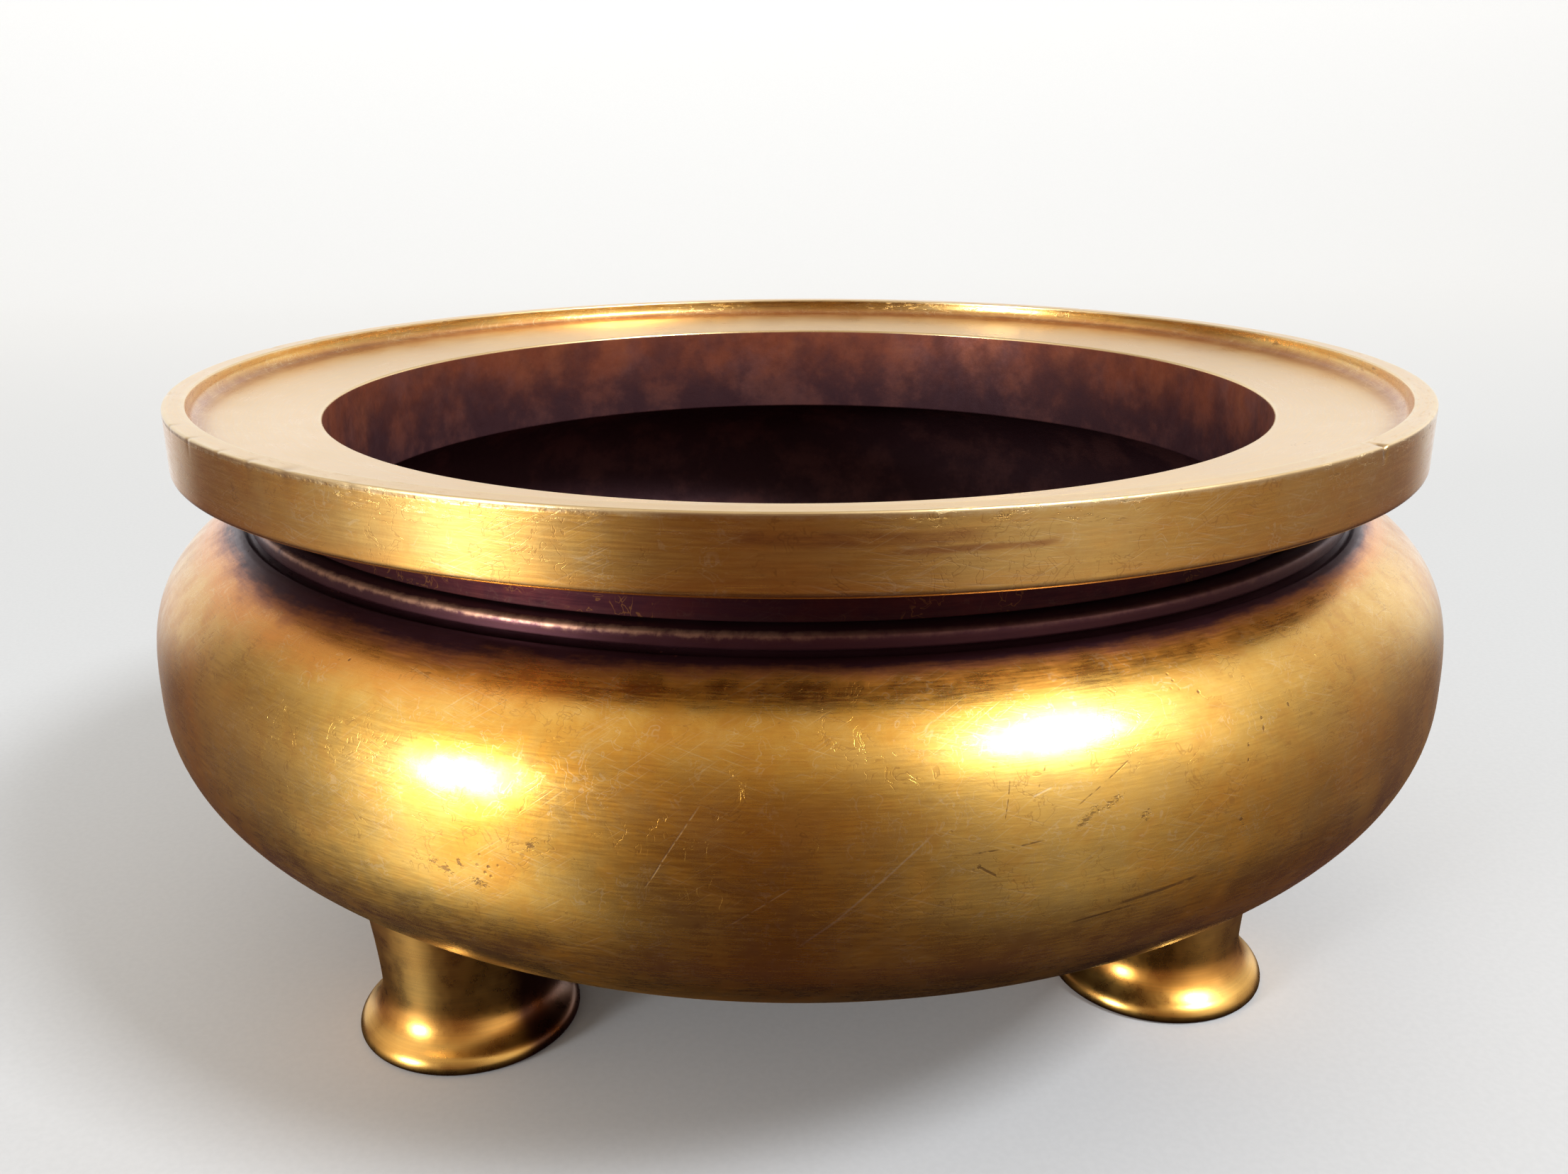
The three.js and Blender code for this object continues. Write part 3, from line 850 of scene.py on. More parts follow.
@shader_group("Scratch", ("Mask",), around=0.0, along=0.0, turn=0.0, length=10 * MM, width=0.2 * MM,
              waver=0.5 * MM, gaps=0.3, sway=0.5, breaks=0.5)
def scratch(graph, given):
    """One long mark: near a line through a place, inside its length, wavering with one given noise and
    broken where another is low."""
    lengthwise, crosswise = line_place(graph, given)
    off = graph.math("ABSOLUTE", graph.plus(crosswise, graph.swing(given["Sway"], given["Waver"])))
    line = graph.less(graph.span(off, graph.times(given["Width"], 0.25), given["Width"]))
    half = graph.times(given["Length"], 0.5)
    inside = graph.less(graph.span(graph.math("ABSOLUTE", lengthwise), graph.times(half, 0.7), half))
    kept = graph.span(given["Breaks"], graph.minus(given["Gaps"], 0.12), graph.plus(given["Gaps"], 0.05))
    return (graph.times(line, inside, kept),)


# Marks that the photograph shows

# On the belly: from and to (degrees from +X, millimetres above the table), width, gaps
PALE_SCRATCHES = (
    ((-89.0, 65.7), (-96.5, 53.0), 0.16, 0.30),
    ((-102.5, 69.3), (-105.7, 60.0), 0.13, 0.42),
    ((-97.0, 60.5), (-101.0, 55.5), 0.10, 0.46),
    ((-81.3, 70.0), (-82.5, 69.3), 0.16, 0.10),
)
DARK_SCRATCHES = (
    ((-70.6, 55.9), (-76.4, 54.6), 0.34, 0.42),
    ((-75.6, 53.9), (-79.6, 53.2), 0.22, 0.47),
    ((-81.5, 72.2), (-82.4, 69.2), 0.09, 0.50),
    ((-83.9, 71.5), (-84.4, 66.5), 0.08, 0.53),
    ((-76.0, 71.5), (-79.5, 67.8), 0.12, 0.52),
    ((-82.0, 64.2), (-87.5, 63.3), 0.16, 0.55),
    ((-86.0, 62.2), (-84.6, 60.5), 0.22, 0.42),
)
# On the belly: place (degrees from +X, millimetres above the table), slope in degrees, half length and
# half width in millimetres, and how dense its middle is
SMUDGES = (
    ((-117.9, 59.6), -50.0, 1.1, 0.5, 0.20), ((-119.2, 58.6), -20.0, 3.0, 1.1, 0.16),
    ((-116.6, 57.6), -10.0, 1.8, 0.7, 0.20), ((-79.0, 66.2), 38.0, 2.4, 0.9, 0.17),
    ((-77.4, 67.4), 25.0, 2.6, 0.6, 0.13), ((-75.0, 65.3), 60.0, 1.1, 1.0, 0.14),
    ((-67.3, 61.4), -60.0, 1.5, 0.5, 0.18), ((-85.9, 62.0), 70.0, 0.7, 0.4, 0.25),
    ((-112.8, 63.5), 40.0, 1.6, 0.8, 0.10), ((-62.1, 73.1), 80.0, 0.5, 0.3, 0.40),
    ((-64.9, 72.6), 80.0, 0.4, 0.3, 0.40), ((-65.0, 71.5), 80.0, 0.5, 0.25, 0.40),
    ((-66.6, 70.3), 80.0, 0.5, 0.25, 0.40), ((-66.8, 68.7), 80.0, 0.4, 0.25, 0.40),
)
# On the rim's band: middle (degrees from the front, positive to the right), then millimetres: depth
# below the rim's top, length, width and waver, then gaps
SMEARS = ((-3.0, 2.94, 30.0, 1.1, 1.2, 0.1), (4.0, 4.24, 22.0, 0.6, 1.2, 0.1))
EDGE_LINE = (-47.0, 0.62, 118.0, 0.3, 0.25, 0.47)


def on_belly(section, angle, z):
    """(angle from the front in radians, length along the section) of a place on the belly's outside,
    given in degrees from +X and millimetres above the table."""
    crest = int(np.argmax(section[:, 1]))
    along = np.interp(z * MM, section[:crest, 1], travelled(section)[:crest])
    return np.radians(angle - FRONT), float(along)


def scratch_noises(graph):
    """The two noises that every scratch of a finish shares: its slow sway and its breaks."""
    return {"sway": graph.grain(110.0), "breaks": graph.grain(900.0)}


def belly_scratches(graph, section, scratches, noises):
    """The listed scratches as one mask, each worked out from its two ends."""
    masks = []
    for start, end, width, gaps in scratches:
        (around_a, along_a), (around_b, along_b) = on_belly(section, *start), on_belly(section, *end)
        run, rise = (around_b - around_a) * BELLY_RADIUS, along_b - along_a
        masks.append(graph.group(
            "Scratch", around=(around_a + around_b) / 2, along=(along_a + along_b) / 2,
            turn=float(np.arctan2(rise, run)), length=float(np.hypot(run, rise)) * 1.15,
            width=width * MM, gaps=gaps, **noises)[0])
    return graph.highest(*masks)


def belly_smudges(graph, section):
    """The listed smudges as one mask."""
    place_along = around_place(graph, 0.8 * MM, 0.34 * MM)
    strokes = graph.noise(place_along, detail=4.0, roughness=0.68, distortion=1.2)
    masks = []
    for place, slope, length, width, density in SMUDGES:
        around, along = on_belly(section, *place)
        masks.append(graph.group("Smudge", around=around, along=along, turn=np.radians(slope),
                                 length=length * MM, width=width * MM, density=density,
                                 strokes=strokes)[0])
    return graph.highest(*masks)


def band_mark(graph, section, noises, angle, depth, length, width, waver, gaps):
    """One long level mark on the rim's upright band."""
    band = section[:, 0] > RIM_RADIUS - 0.05 * MM
    along = float(np.interp(RIM_TOP - depth * MM, section[band, 1], travelled(section)[band]))
    return graph.group("Scratch", around=np.radians(angle), along=along, length=length * MM,
                       width=width * MM, waver=waver * MM, gaps=gaps, **noises)[0]


# Finishes

# Tones that only one layer of a finish uses
DEEP_GOLD = (0.76, 0.35, 0.038)
LIGHT_GOLD = (0.84, 0.52, 0.11)
PALE_GOLD = (0.88, 0.58, 0.17)
COPPER_SPECKS = (0.60, 0.22, 0.035)
# Pale tone of the ridge's upper edge: real wear, with a painted highlight on top
RIDGE_WEAR_AND_HIGHLIGHT = (0.50, 0.26, 0.15)
BRIGHT_HAIRLINES = (0.95, 0.72, 0.36)
BROWN_HAIRLINES = (0.42, 0.17, 0.03)
LIGHT_SQUIGGLES = (0.97, 0.75, 0.42)
BROWN_SQUIGGLES = (0.36, 0.15, 0.035)
DULL_MARKS = (0.20, 0.09, 0.03)
PALE_MARKS = (0.98, 0.74, 0.40)
WALL_GREY = (0.16, 0.072, 0.070)
WALL_ORANGE = (0.30, 0.085, 0.036)
WALL_DARK = (0.10, 0.028, 0.022)
WALL_SPECKLE = (0.27, 0.11, 0.07)
FLOOR_BROWN = (0.10, 0.036, 0.034)
BAND_DEEP = (0.78, 0.42, 0.085)
BAND_LIGHT = (0.84, 0.56, 0.18)
BAND_COPPER = (0.66, 0.28, 0.05)
BAND_SMEAR = (0.34, 0.080, 0.028)
LIP_FLECKS = (0.26, 0.11, 0.04)
TRAY_DEEP = (0.84, 0.54, 0.22)
TRAY_CORNER = (0.42, 0.145, 0.05)
NECK_DUSK = (0.050, 0.013, 0.018)
NECK_RED = (0.070, 0.015, 0.017)
RUBBED_RIM = (0.93, 0.72, 0.38)
RIM_SQUIGGLES = (0.96, 0.76, 0.44)
RIM_HAIRLINES = (0.96, 0.74, 0.42)
FOOT_COPPER = (0.78, 0.36, 0.055)
# Painted shade on the side of each foot that faces the middle
FOOT_SHADE_TONE = (0.075, 0.017, 0.016)
FIXING_BRASS = (0.30, 0.15, 0.055)
FIXING_BROWN = (0.11, 0.045, 0.025)


def new_finish(name, metallic=1.0, brushing=0.0):
    """A material with a Principled shader whose gloss runs across the turning marks, and its graph."""
    finish = bpy.data.materials.new(name)
    finish.use_nodes = True
    shader = next(node for node in finish.node_tree.nodes if node.type == "BSDF_PRINCIPLED")
    shader.inputs["Metallic"].default_value = metallic
    shader.inputs["Anisotropic"].default_value = brushing
    shader.inputs["Anisotropic Rotation"].default_value = 0.25
    shader.inputs["Coat Roughness"].default_value = 0.22
    return finish, Graph(finish.node_tree), shader


def set_surface(graph, shader, colour, roughness, height, metallic=None, lacquer=None):
    """Joins the colour, the roughness, the height in metres and the weight of the lacquer to the shader."""
    bump = graph.put("ShaderNodeBump")
    graph.feed(bump.inputs["Distance"], 1.0)
    graph.feed(bump.inputs["Height"], height)
    values = {"Base Color": colour, "Roughness": roughness, "Normal": bump.outputs[0],
              "Metallic": metallic, "Coat Weight": lacquer}
    for name, value in values.items():
        if value is not None:
            graph.feed(shader.inputs[name], value)


def belly_finish(sizes, tones):
    """Satin turned brass: cloudy gold that turns ragged orange, rust and dark near the crest, with painted
    shade that makes it redder and darker towards the underside, turning marks, hairlines, squiggles, smudges,
    scratches, and a worn edge on the ridge that a painted highlight brightens at the left."""
    finish, graph, shader = new_finish("belly_brass", brushing=tones.brushing)
    section = bowl_section(sizes)[0]
    fine, broad = graph.group("Lathe Marks", length=4 * MM, spacing=0.26 * MM)
    slow = graph.grain(24.0, detail=3.0)
    cloud = graph.grain(62.0, detail=6.0, roughness=0.62, distortion=0.5)
    small = graph.grain(210.0, detail=6.0, roughness=0.68)
    streaky = graph.noise(around_place(graph, 7 * MM, 1.1 * MM), detail=6.0, roughness=0.68)
    below_crest = graph.plus(graph.mark("shoulder"), graph.swing(streaky, 1.2), graph.swing(small, 0.9),
                             graph.swing(cloud, 1.1))
    clean = graph.span(below_crest, 0.8, 2.2)
    _, _, z = graph.parts(graph.position())
    # Painted shade: low grows towards the belly's underside, where it turns the brass redder and darker
    low = graph.plus(graph.span(z, 26 * MM, 56 * MM, 1.0, 0.0), graph.swing(slow, 0.5))
    angle, _ = arc_place(graph)
    # The left side, where the window light falls: the ridge's worn upper edge is painted brightest here, a
    # painted highlight over real wear
    lit_left = graph.times(graph.span(angle, -1.5, -0.9), graph.span(angle, -0.5, 0.1, 1.0, 0.15))
    ridge_top = graph.span(z, COLLAR_TOP - 1.5 * MM, COLLAR_TOP - 0.6 * MM)
    rubbed = graph.times(graph.group("Worn Edges", amount=1.0, grain=500.0)[0], lit_left, ridge_top)
    pitted = graph.group("Pits", spacing=1.1 * MM, share=0.34)[0]
    rising, falling, level = graph.group("Hairlines")
    light, brown = (graph.times(mask, clean) for mask in graph.group("Squiggles"))
    noises = scratch_noises(graph)
    pale = belly_scratches(graph, section, PALE_SCRATCHES, noises)
    dull = graph.highest(belly_scratches(graph, section, DARK_SCRATCHES, noises),
                         belly_smudges(graph, section))
    colour = graph.paint(
        DEEP_GOLD,
        (graph.span(cloud, 0.36, 0.64), tones.belly),
        (graph.span(slow, 0.45, 0.62, 0.0, 0.75), LIGHT_GOLD),
        (graph.span(small, 0.4, 0.7, 0.0, 0.4), PALE_GOLD),
        (graph.span(small, 0.3, 0.52, 0.3, 0.0), COPPER_SPECKS),
        (graph.span(below_crest, 1.7, 3.8, 0.92, 0.0), tones.orange),
        (graph.span(below_crest, 1.0, 2.1, 0.9, 0.0), tones.rust),
        (graph.span(below_crest, 0.5, 1.4, 1.0, 0.0), tones.dark),
        # painted shade towards the underside
        (graph.span(low, 0.2, 1.1, 0.0, 0.5), tones.red),
        (graph.times(rubbed, 0.8), RIDGE_WEAR_AND_HIGHLIGHT),
        (graph.span(fine, 0.35, 0.7, 0.08, 0.0), tones.red),
        (graph.times(graph.plus(rising, falling), clean, 0.3), BRIGHT_HAIRLINES),
        (graph.times(level, clean, 0.3), BROWN_HAIRLINES),
        (graph.times(light, 0.26), LIGHT_SQUIGGLES),
        (graph.times(brown, 0.3), BROWN_SQUIGGLES),
        (graph.times(pitted, 0.7), tones.red),
        (graph.times(dull, 0.68), DULL_MARKS),
        (graph.times(pale, 0.6), PALE_MARKS),
    )
    metallic = graph.span(below_crest, 0.5, 2.6, 0.8, 1.0)
    lacquer = graph.span(below_crest, 0.4, 2.2, 0.15 * tones.lacquer, tones.lacquer)
    roughness = graph.plus(
        tones.roughness,
        graph.span(below_crest, 0.6, 2.4, 0.06, 0.0),
        graph.span(fine, 0.3, 0.7, -0.03, 0.04),
        graph.span(cloud, 0.35, 0.65, 0.04, -0.04),
        graph.span(small, 0.35, 0.65, 0.03, -0.03),
        graph.times(pitted, 0.2),
    )
    height = graph.weighed((fine, 0.9e-6), (broad, 2.0e-6), (pitted, -2.5e-5), (cloud, 3e-5), (small, 1.2e-5),
                           (brown, -4e-6), (light, -1e-6), (graph.plus(rising, falling, level), -2.5e-6),
                           (pale, -8e-6), (dull, -1.0e-5))
    set_surface(graph, shader, colour, roughness, height, metallic, lacquer)
    return finish


def inner_finish(name, tones, dark_below, fade, mottling):
    """The inside: red-brown with orange and blue-grey mottling, matt, and darker below a height, over a
    ragged fade of that length."""
    finish, graph, shader = new_finish(name, metallic=0.45)
    shader.inputs["Specular IOR Level"].default_value = 0.25
    orange = graph.group("Cloudy Patina", cover=0.38, size=11 * MM, raggedness=1.7, softness=0.16)[0]
    grey = graph.group("Cloudy Patina", cover=0.36, size=17 * MM, raggedness=1.7, softness=0.2)[0]
    speckle = graph.grain(420.0, detail=5.0, roughness=0.7)
    patchy = graph.grain(85.0, detail=5.0, roughness=0.62)
    _, _, z = graph.parts(graph.position())
    ragged_z = graph.plus(z, graph.swing(patchy, fade))
    deep = graph.span(ragged_z, dark_below, dark_below + fade, 0.97, 0.0)
    floor_tone = graph.blend(graph.span(patchy, 0.45, 0.65), tones.soot, FLOOR_BROWN)
    colour = graph.paint(
        tones.inside,
        (graph.times(grey, mottling), WALL_GREY),
        (graph.times(orange, mottling), WALL_ORANGE),
        (graph.span(patchy, 0.36, 0.6, 0.4, 0.0), WALL_DARK),
        (graph.span(speckle, 0.55, 0.8, 0.0, 0.25), WALL_SPECKLE),
        (deep, floor_tone),
    )
    roughness = graph.plus(0.5, graph.span(speckle, 0.3, 0.7, -0.08, 0.1), graph.times(deep, 0.14))
    set_surface(graph, shader, colour, roughness, graph.weighed((speckle, 6e-5), (patchy, 9e-5)))
    return finish


def rim_finish(sizes, tones):
    """Brass of the rim: cloudy gold band with worn flecks under the lip and a reddish smear, paler tray
    and lip, dark neck, and bright rubbed edges."""
    finish, graph, shader = new_finish("rim_brass_turned", brushing=tones.brushing)
    section = rim_section(sizes)
    fine, broad = graph.group("Lathe Marks", length=6 * MM, spacing=0.28 * MM)
    slow = graph.grain(30.0, detail=3.0)
    cloud = graph.grain(95.0, detail=6.0, roughness=0.62, distortion=0.4)
    small = graph.grain(260.0, detail=6.0, roughness=0.68)
    streaky = graph.noise(around_place(graph, 9 * MM, 1.6 * MM), detail=6.0, roughness=0.7)
    tray, neck, edge = graph.mark("tray"), graph.mark("neck"), graph.mark("edge")
    _, _, z = graph.parts(graph.position())

    def rising(low, high, start=0.0, end=1.0):
        """A smooth step between two depths below the rim's top, in millimetres."""
        return graph.span(z, RIM_TOP - low * MM, RIM_TOP - high * MM, start, end)

    clean = graph.less(neck)
    low_band = graph.times(rising(9.4, 6.0, 0.42, 0.0), graph.span(cloud, 0.3, 0.6))
    noises = scratch_noises(graph)
    smears = graph.highest(*(band_mark(graph, section, noises, *smear) for smear in SMEARS))
    below_band = graph.times(rising(9.5, 8.8, 0.85, 0.0), graph.less(tray))
    flecks = graph.noise(around_place(graph, 2.4 * MM, 0.6 * MM), detail=6.0, roughness=0.72)
    under_lip = graph.times(graph.span(flecks, 0.56, 0.66), rising(3.6, 0.7), graph.less(tray),
                            graph.span(slow, 0.4, 0.6))
    fleck = graph.highest(under_lip, band_mark(graph, section, noises, *EDGE_LINE))
    pale = graph.highest(tray, rising(0.5, 0.1))
    pale_tone = graph.blend(graph.span(cloud, 0.38, 0.66, 0.0, 0.45), tones.tray, TRAY_DEEP)
    corner = graph.times(graph.mark("hollow"), rising(6.0, 4.0), graph.span(small, 0.3, 0.6, 0.6, 0.95))
    dusky = graph.group("Cloudy Patina", cover=neck, size=7 * MM, raggedness=0.5, softness=0.3)[0]
    dusk_tone = graph.blend(graph.span(cloud, 0.4, 0.62), NECK_DUSK, NECK_RED)
    worn = graph.group("Worn Edges", amount=1.1, grain=700.0)[0]
    rubbed = graph.times(worn, clean, rising(8.0, 6.0, 0.3, 1.0))
    pitted = graph.group("Pits", spacing=0.9 * MM, share=0.32)[0]
    lines = graph.plus(*graph.group("Hairlines", slope=0.25))
    light, brown = graph.group("Squiggles")
    dented = graph.math("MINIMUM", graph.mark("dent"), 1.0)
    colour = graph.paint(
        BAND_DEEP,
        (graph.span(cloud, 0.36, 0.64), tones.band),
        (graph.span(slow, 0.45, 0.62, 0.0, 0.5), BAND_LIGHT),
        (graph.span(small, 0.3, 0.52, 0.24, 0.0), BAND_COPPER),
        (graph.span(streaky, 0.36, 0.56, 0.16, 0.0), tones.orange),
        (low_band, tones.orange),
        (graph.times(smears, graph.span(streaky, 0.32, 0.6, 0.2, 0.6)), BAND_SMEAR),
        (below_band, tones.red),
        (graph.times(fleck, 0.7), LIP_FLECKS),
        (pale, pale_tone),
        (corner, TRAY_CORNER),
        (dusky, dusk_tone),
        (graph.times(rubbed, 0.6), RUBBED_RIM),
        (graph.span(fine, 0.35, 0.7, 0.09, 0.0), tones.red),
        (graph.times(light, clean, 0.28), RIM_SQUIGGLES),
        (graph.times(brown, graph.less(pale), 0.3), BROWN_SQUIGGLES),
        (graph.times(graph.highest(pitted, dented), 0.5), tones.red),
        (graph.times(lines, clean, 0.28), RIM_HAIRLINES),
    )
    roughness = graph.plus(
        tones.roughness - 0.05,
        graph.times(pale, 0.1),
        graph.times(dusky, 0.12),
        graph.times(rising(9.7, 9.4, 0.25, 0.0), graph.less(tray)),
        graph.span(fine, 0.3, 0.7, -0.04, 0.04),
        graph.span(cloud, 0.35, 0.65, 0.03, -0.03),
        graph.times(fleck, 0.18),
    )
    lacquer = graph.times(graph.less(graph.times(neck, 0.9)), tones.lacquer)
    height = graph.weighed((fine, 1.1e-6), (broad, 2.5e-6), (pitted, -2.2e-5), (cloud, 1.6e-5), (small, 8e-6),
                           (fleck, -2.2e-5), (brown, -3e-6), (lines, -3e-6), (edge, small, 1.5e-5))
    set_surface(graph, shader, colour, roughness, height, None, lacquer)
    return finish


def foot_finish(tones):
    """Polished brass of the feet: orange-gold, with red-brown patina where the waist is hollow, and painted
    shade: red-brown under the belly and dark on the side that faces the middle."""
    finish, graph, shader = new_finish("foot_brass_polished", brushing=0.2)
    _, _, z = graph.parts(graph.position())
    slow = graph.grain(60.0, detail=4.0)
    small = graph.grain(330.0, detail=6.0, roughness=0.68)
    fine = graph.noise(around_place(graph, 8.333 * MM, 0.3 * MM), detail=3.0)
    hollow = graph.plus(graph.mark("hollow"), graph.swing(small, 0.8))
    # Painted shade under the belly, redder towards the top of the stem
    shade_below_belly = graph.plus(graph.mark("shade_below_belly"), graph.swing(slow, 0.8))
    # Painted shade on the side that faces the middle
    inner = graph.plus(graph.mark("inner"), graph.swing(slow, 0.5))
    pitted = graph.group("Pits", spacing=0.8 * MM, share=0.28)[0]
    colour = graph.paint(
        tones.foot,
        (graph.span(slow, 0.35, 0.65, 0.0, 0.6), FOOT_COPPER),
        (graph.span(hollow, 0.15, 0.8, 0.0, 0.4), tones.orange),
        (graph.span(shade_below_belly, 0.0, 0.6, 0.6, 0.0), tones.red),
        (graph.span(inner, 0.1, 0.85, 0.0, 0.9), FOOT_SHADE_TONE),
        (graph.times(pitted, 0.6), tones.red),
        (graph.span(fine, 0.35, 0.7, 0.1, 0.0), tones.red),
        (graph.span(z, 0.2 * MM, 1.4 * MM, 0.7, 0.0), tones.red),
    )
    roughness = graph.plus(0.28, graph.span(small, 0.3, 0.7, -0.03, 0.06), graph.times(pitted, 0.2))
    height = graph.weighed((fine, 2e-6), (pitted, -1.4e-5), (slow, 3e-5))
    set_surface(graph, shader, colour, roughness, height, None, tones.lacquer)
    return finish


def fixing_finish(tones):
    """Dull tarnished brass of the screws and washers inside the bowl."""
    finish, graph, shader = new_finish("fixing_brass_dull")
    slow = graph.grain(240.0, detail=5.0, roughness=0.65)
    fine = graph.grain(1800.0, detail=4.0)
    colour = graph.paint(
        FIXING_BRASS,
        (graph.span(slow, 0.35, 0.65), FIXING_BROWN),
        (graph.span(fine, 0.55, 0.75, 0.0, 0.5), tones.soot),
    )
    roughness = graph.plus(0.42, graph.span(fine, 0.3, 0.7, -0.06, 0.12))
    set_surface(graph, shader, colour, roughness, graph.times(fine, 2e-5))
    return finish


# Stage: the sweep, the light and the camera

CAMERA_PLACE = (-0.0275193, -0.2360916, 0.13719)
CAMERA_HEADING = -6.0755          # degrees about Z from looking along +Y
CAMERA_PITCH = -17.86
CAMERA_ROLL = -0.3037
CAMERA_LENS = 31.915              # millimetres on a 36 mm wide sensor
FLOOR_FRONT = -5.0
FLOOR_BACK = 0.95
SWEEP_REACH = 0.55
WALL_TOP = 3.0
STAGE_HALF_WIDTH = 5.0
FLOOR_TONE = (0.60, 0.59, 0.575)
FLOOR_GLOW_TONE = (1.0, 0.99, 0.965)
SHADE_TONE = (0.014, 0.008, 0.009)
SHADE_RADIUS = 80 * MM            # the shade under the burner fades from here
SHADE_END = 106 * MM
AIM_HEIGHT = 60 * MM              # what the lights are turned to


def sweep_points():
    """A floor that curves up into a wall: straight, a quarter circle, straight, carried along X."""
    bend = np.radians(np.linspace(-90, 0, 24))
    curve = np.column_stack([FLOOR_BACK + SWEEP_REACH * np.cos(bend), SWEEP_REACH * (1 + np.sin(bend))])
    line = np.vstack([[[FLOOR_FRONT, 0.0]], curve, [[FLOOR_BACK + SWEEP_REACH, WALL_TOP]]])
    line = refined(line, 0.25)
    x = np.linspace(-STAGE_HALF_WIDTH, STAGE_HALF_WIDTH, 41)
    return np.stack(np.broadcast_arrays(x[None, :], line[:, :1], line[:, 1:]), axis=-1)


def make_sweep():
    """The sweep as one mesh, with a plain matt floor that brightens into a softly glowing wall. The brass
    sees only a dark shade under the burner in its place, and the room past it."""
    points = sweep_points()
    rows, columns = points.shape[:2]
    i, j = np.arange(rows - 1)[:, None], np.arange(columns - 1)[None, :]
    here = i * columns + j
    faces = np.stack([here, here + 1, here + columns + 1, here + columns], axis=-1).reshape(-1, 4)
    mesh = bpy.data.meshes.new("sweep")
    mesh.from_pydata(points.reshape(-1, 3).tolist(), [], faces.tolist())
    mesh.shade_smooth()
    finish, graph, shader = new_finish("sweep_paper", metallic=0.0)
    x, y, z = graph.parts(graph.position())
    grain = graph.grain(900.0, detail=3.0)
    paper = graph.blend(graph.span(grain, 0.3, 0.7), FLOOR_TONE, [tone * 0.97 for tone in FLOOR_TONE])
    graph.feed(shader.inputs["Base Color"], paper)
    graph.feed(shader.inputs["Roughness"], 0.85)
    shader.inputs["Specular IOR Level"].default_value = 0.15
    glow = graph.plus(graph.span(y, -0.1, 1.1, 0.0, 0.31), graph.span(z, 0.0, 0.5, 0.0, 0.13))
    graph.feed(shader.inputs["Emission Color"], FLOOR_GLOW_TONE)
    graph.feed(shader.inputs["Emission Strength"], glow)
    away = graph.distance(x, y)
    shade = graph.put("ShaderNodeEmission")
    graph.feed(shade.inputs["Color"], SHADE_TONE)
    clear = graph.put("ShaderNodeBsdfTransparent")
    mirrored = graph.put("ShaderNodeMixShader")
    seen = graph.put("ShaderNodeMixShader")
    reflected = graph.put("ShaderNodeLightPath").outputs["Is Glossy Ray"]
    mixes = (
        (mirrored, graph.span(away, SHADE_RADIUS, SHADE_END), shade, clear),
        (seen, reflected, shader, mirrored),
    )
    for mix, amount, first, second in mixes:
        for socket, value in zip(mix.inputs, (amount, first.outputs[0], second.outputs[0])):
            graph.feed(socket, value)
    sink = next(node for node in finish.node_tree.nodes if node.type == "OUTPUT_MATERIAL")
    graph.feed(sink.inputs["Surface"], seen.outputs[0])
    mesh.materials.append(finish)
    sweep = bpy.data.objects.new("sweep", mesh)
    bpy.context.scene.collection.objects.link(sweep)


def make_window(name, place, width, height, power, tone):
    """A soft rectangular light aimed at the burner, out of the camera's sight."""
    light = bpy.data.lights.new(name, "AREA")
    light.shape = "RECTANGLE"
    light.size, light.size_y = width, height
    light.energy = power
    light.color = tone
    window = bpy.data.objects.new(name, light)
    aim = Vector((0.0, 0.0, AIM_HEIGHT)) - Vector(place)
    window.matrix_world = Matrix.Translation(place) @ aim.to_track_quat("-Z", "Y").to_matrix().to_4x4()
    window.visible_camera = False
    bpy.context.scene.collection.objects.link(window)


def direction(azimuth, elevation):
    """The unit vector towards a place in the room: azimuth from the front, -Y, positive to the right."""
    a, e = np.radians((azimuth, elevation))
    return (np.sin(a) * np.cos(e), -np.cos(a) * np.cos(e), np.sin(e))


# What the brass reflects: a soft glow round each window, and the windows' glint off a dark table.
# Each has a direction (azimuth, elevation), a strength, and a power that narrows it.
GLOWS = (
    (-61.0, 8.0, 0.7, 14.0), (-86.0, 48.0, 0.95, 10.0), (50.0, 45.0, 1.2, 10.0),
    (36.0, 8.0, 0.6, 14.0), (88.0, 60.0, 1.1, 14.0), (114.0, 22.0, 0.5, 14.0),
    (63.0, 17.0, 0.9, 160.0), (78.0, 2.0, 0.2, 8.0), (-64.0, -19.0, 1.5, 30.0),
    (-62.0, -36.0, 0.5, 30.0), (-88.0, -12.0, 0.26, 12.0), (42.0, -20.0, 0.22, 10.0),
    (180.0, 20.0, 0.14, 8.0),
)
GLOW_TONE = (0.96, 0.99, 1.02)
TABLE_TONE = (0.060, 0.030, 0.035)
ROOM_TONE = (0.175, 0.102, 0.076)
CEILING_TONE = (0.41, 0.33, 0.25)
WALL_TONE = (1.00, 1.03, 1.08)
STUDIO_TONE = (0.74, 0.735, 0.72)
WINDOW_TONE = (0.93, 1.0, 1.09)


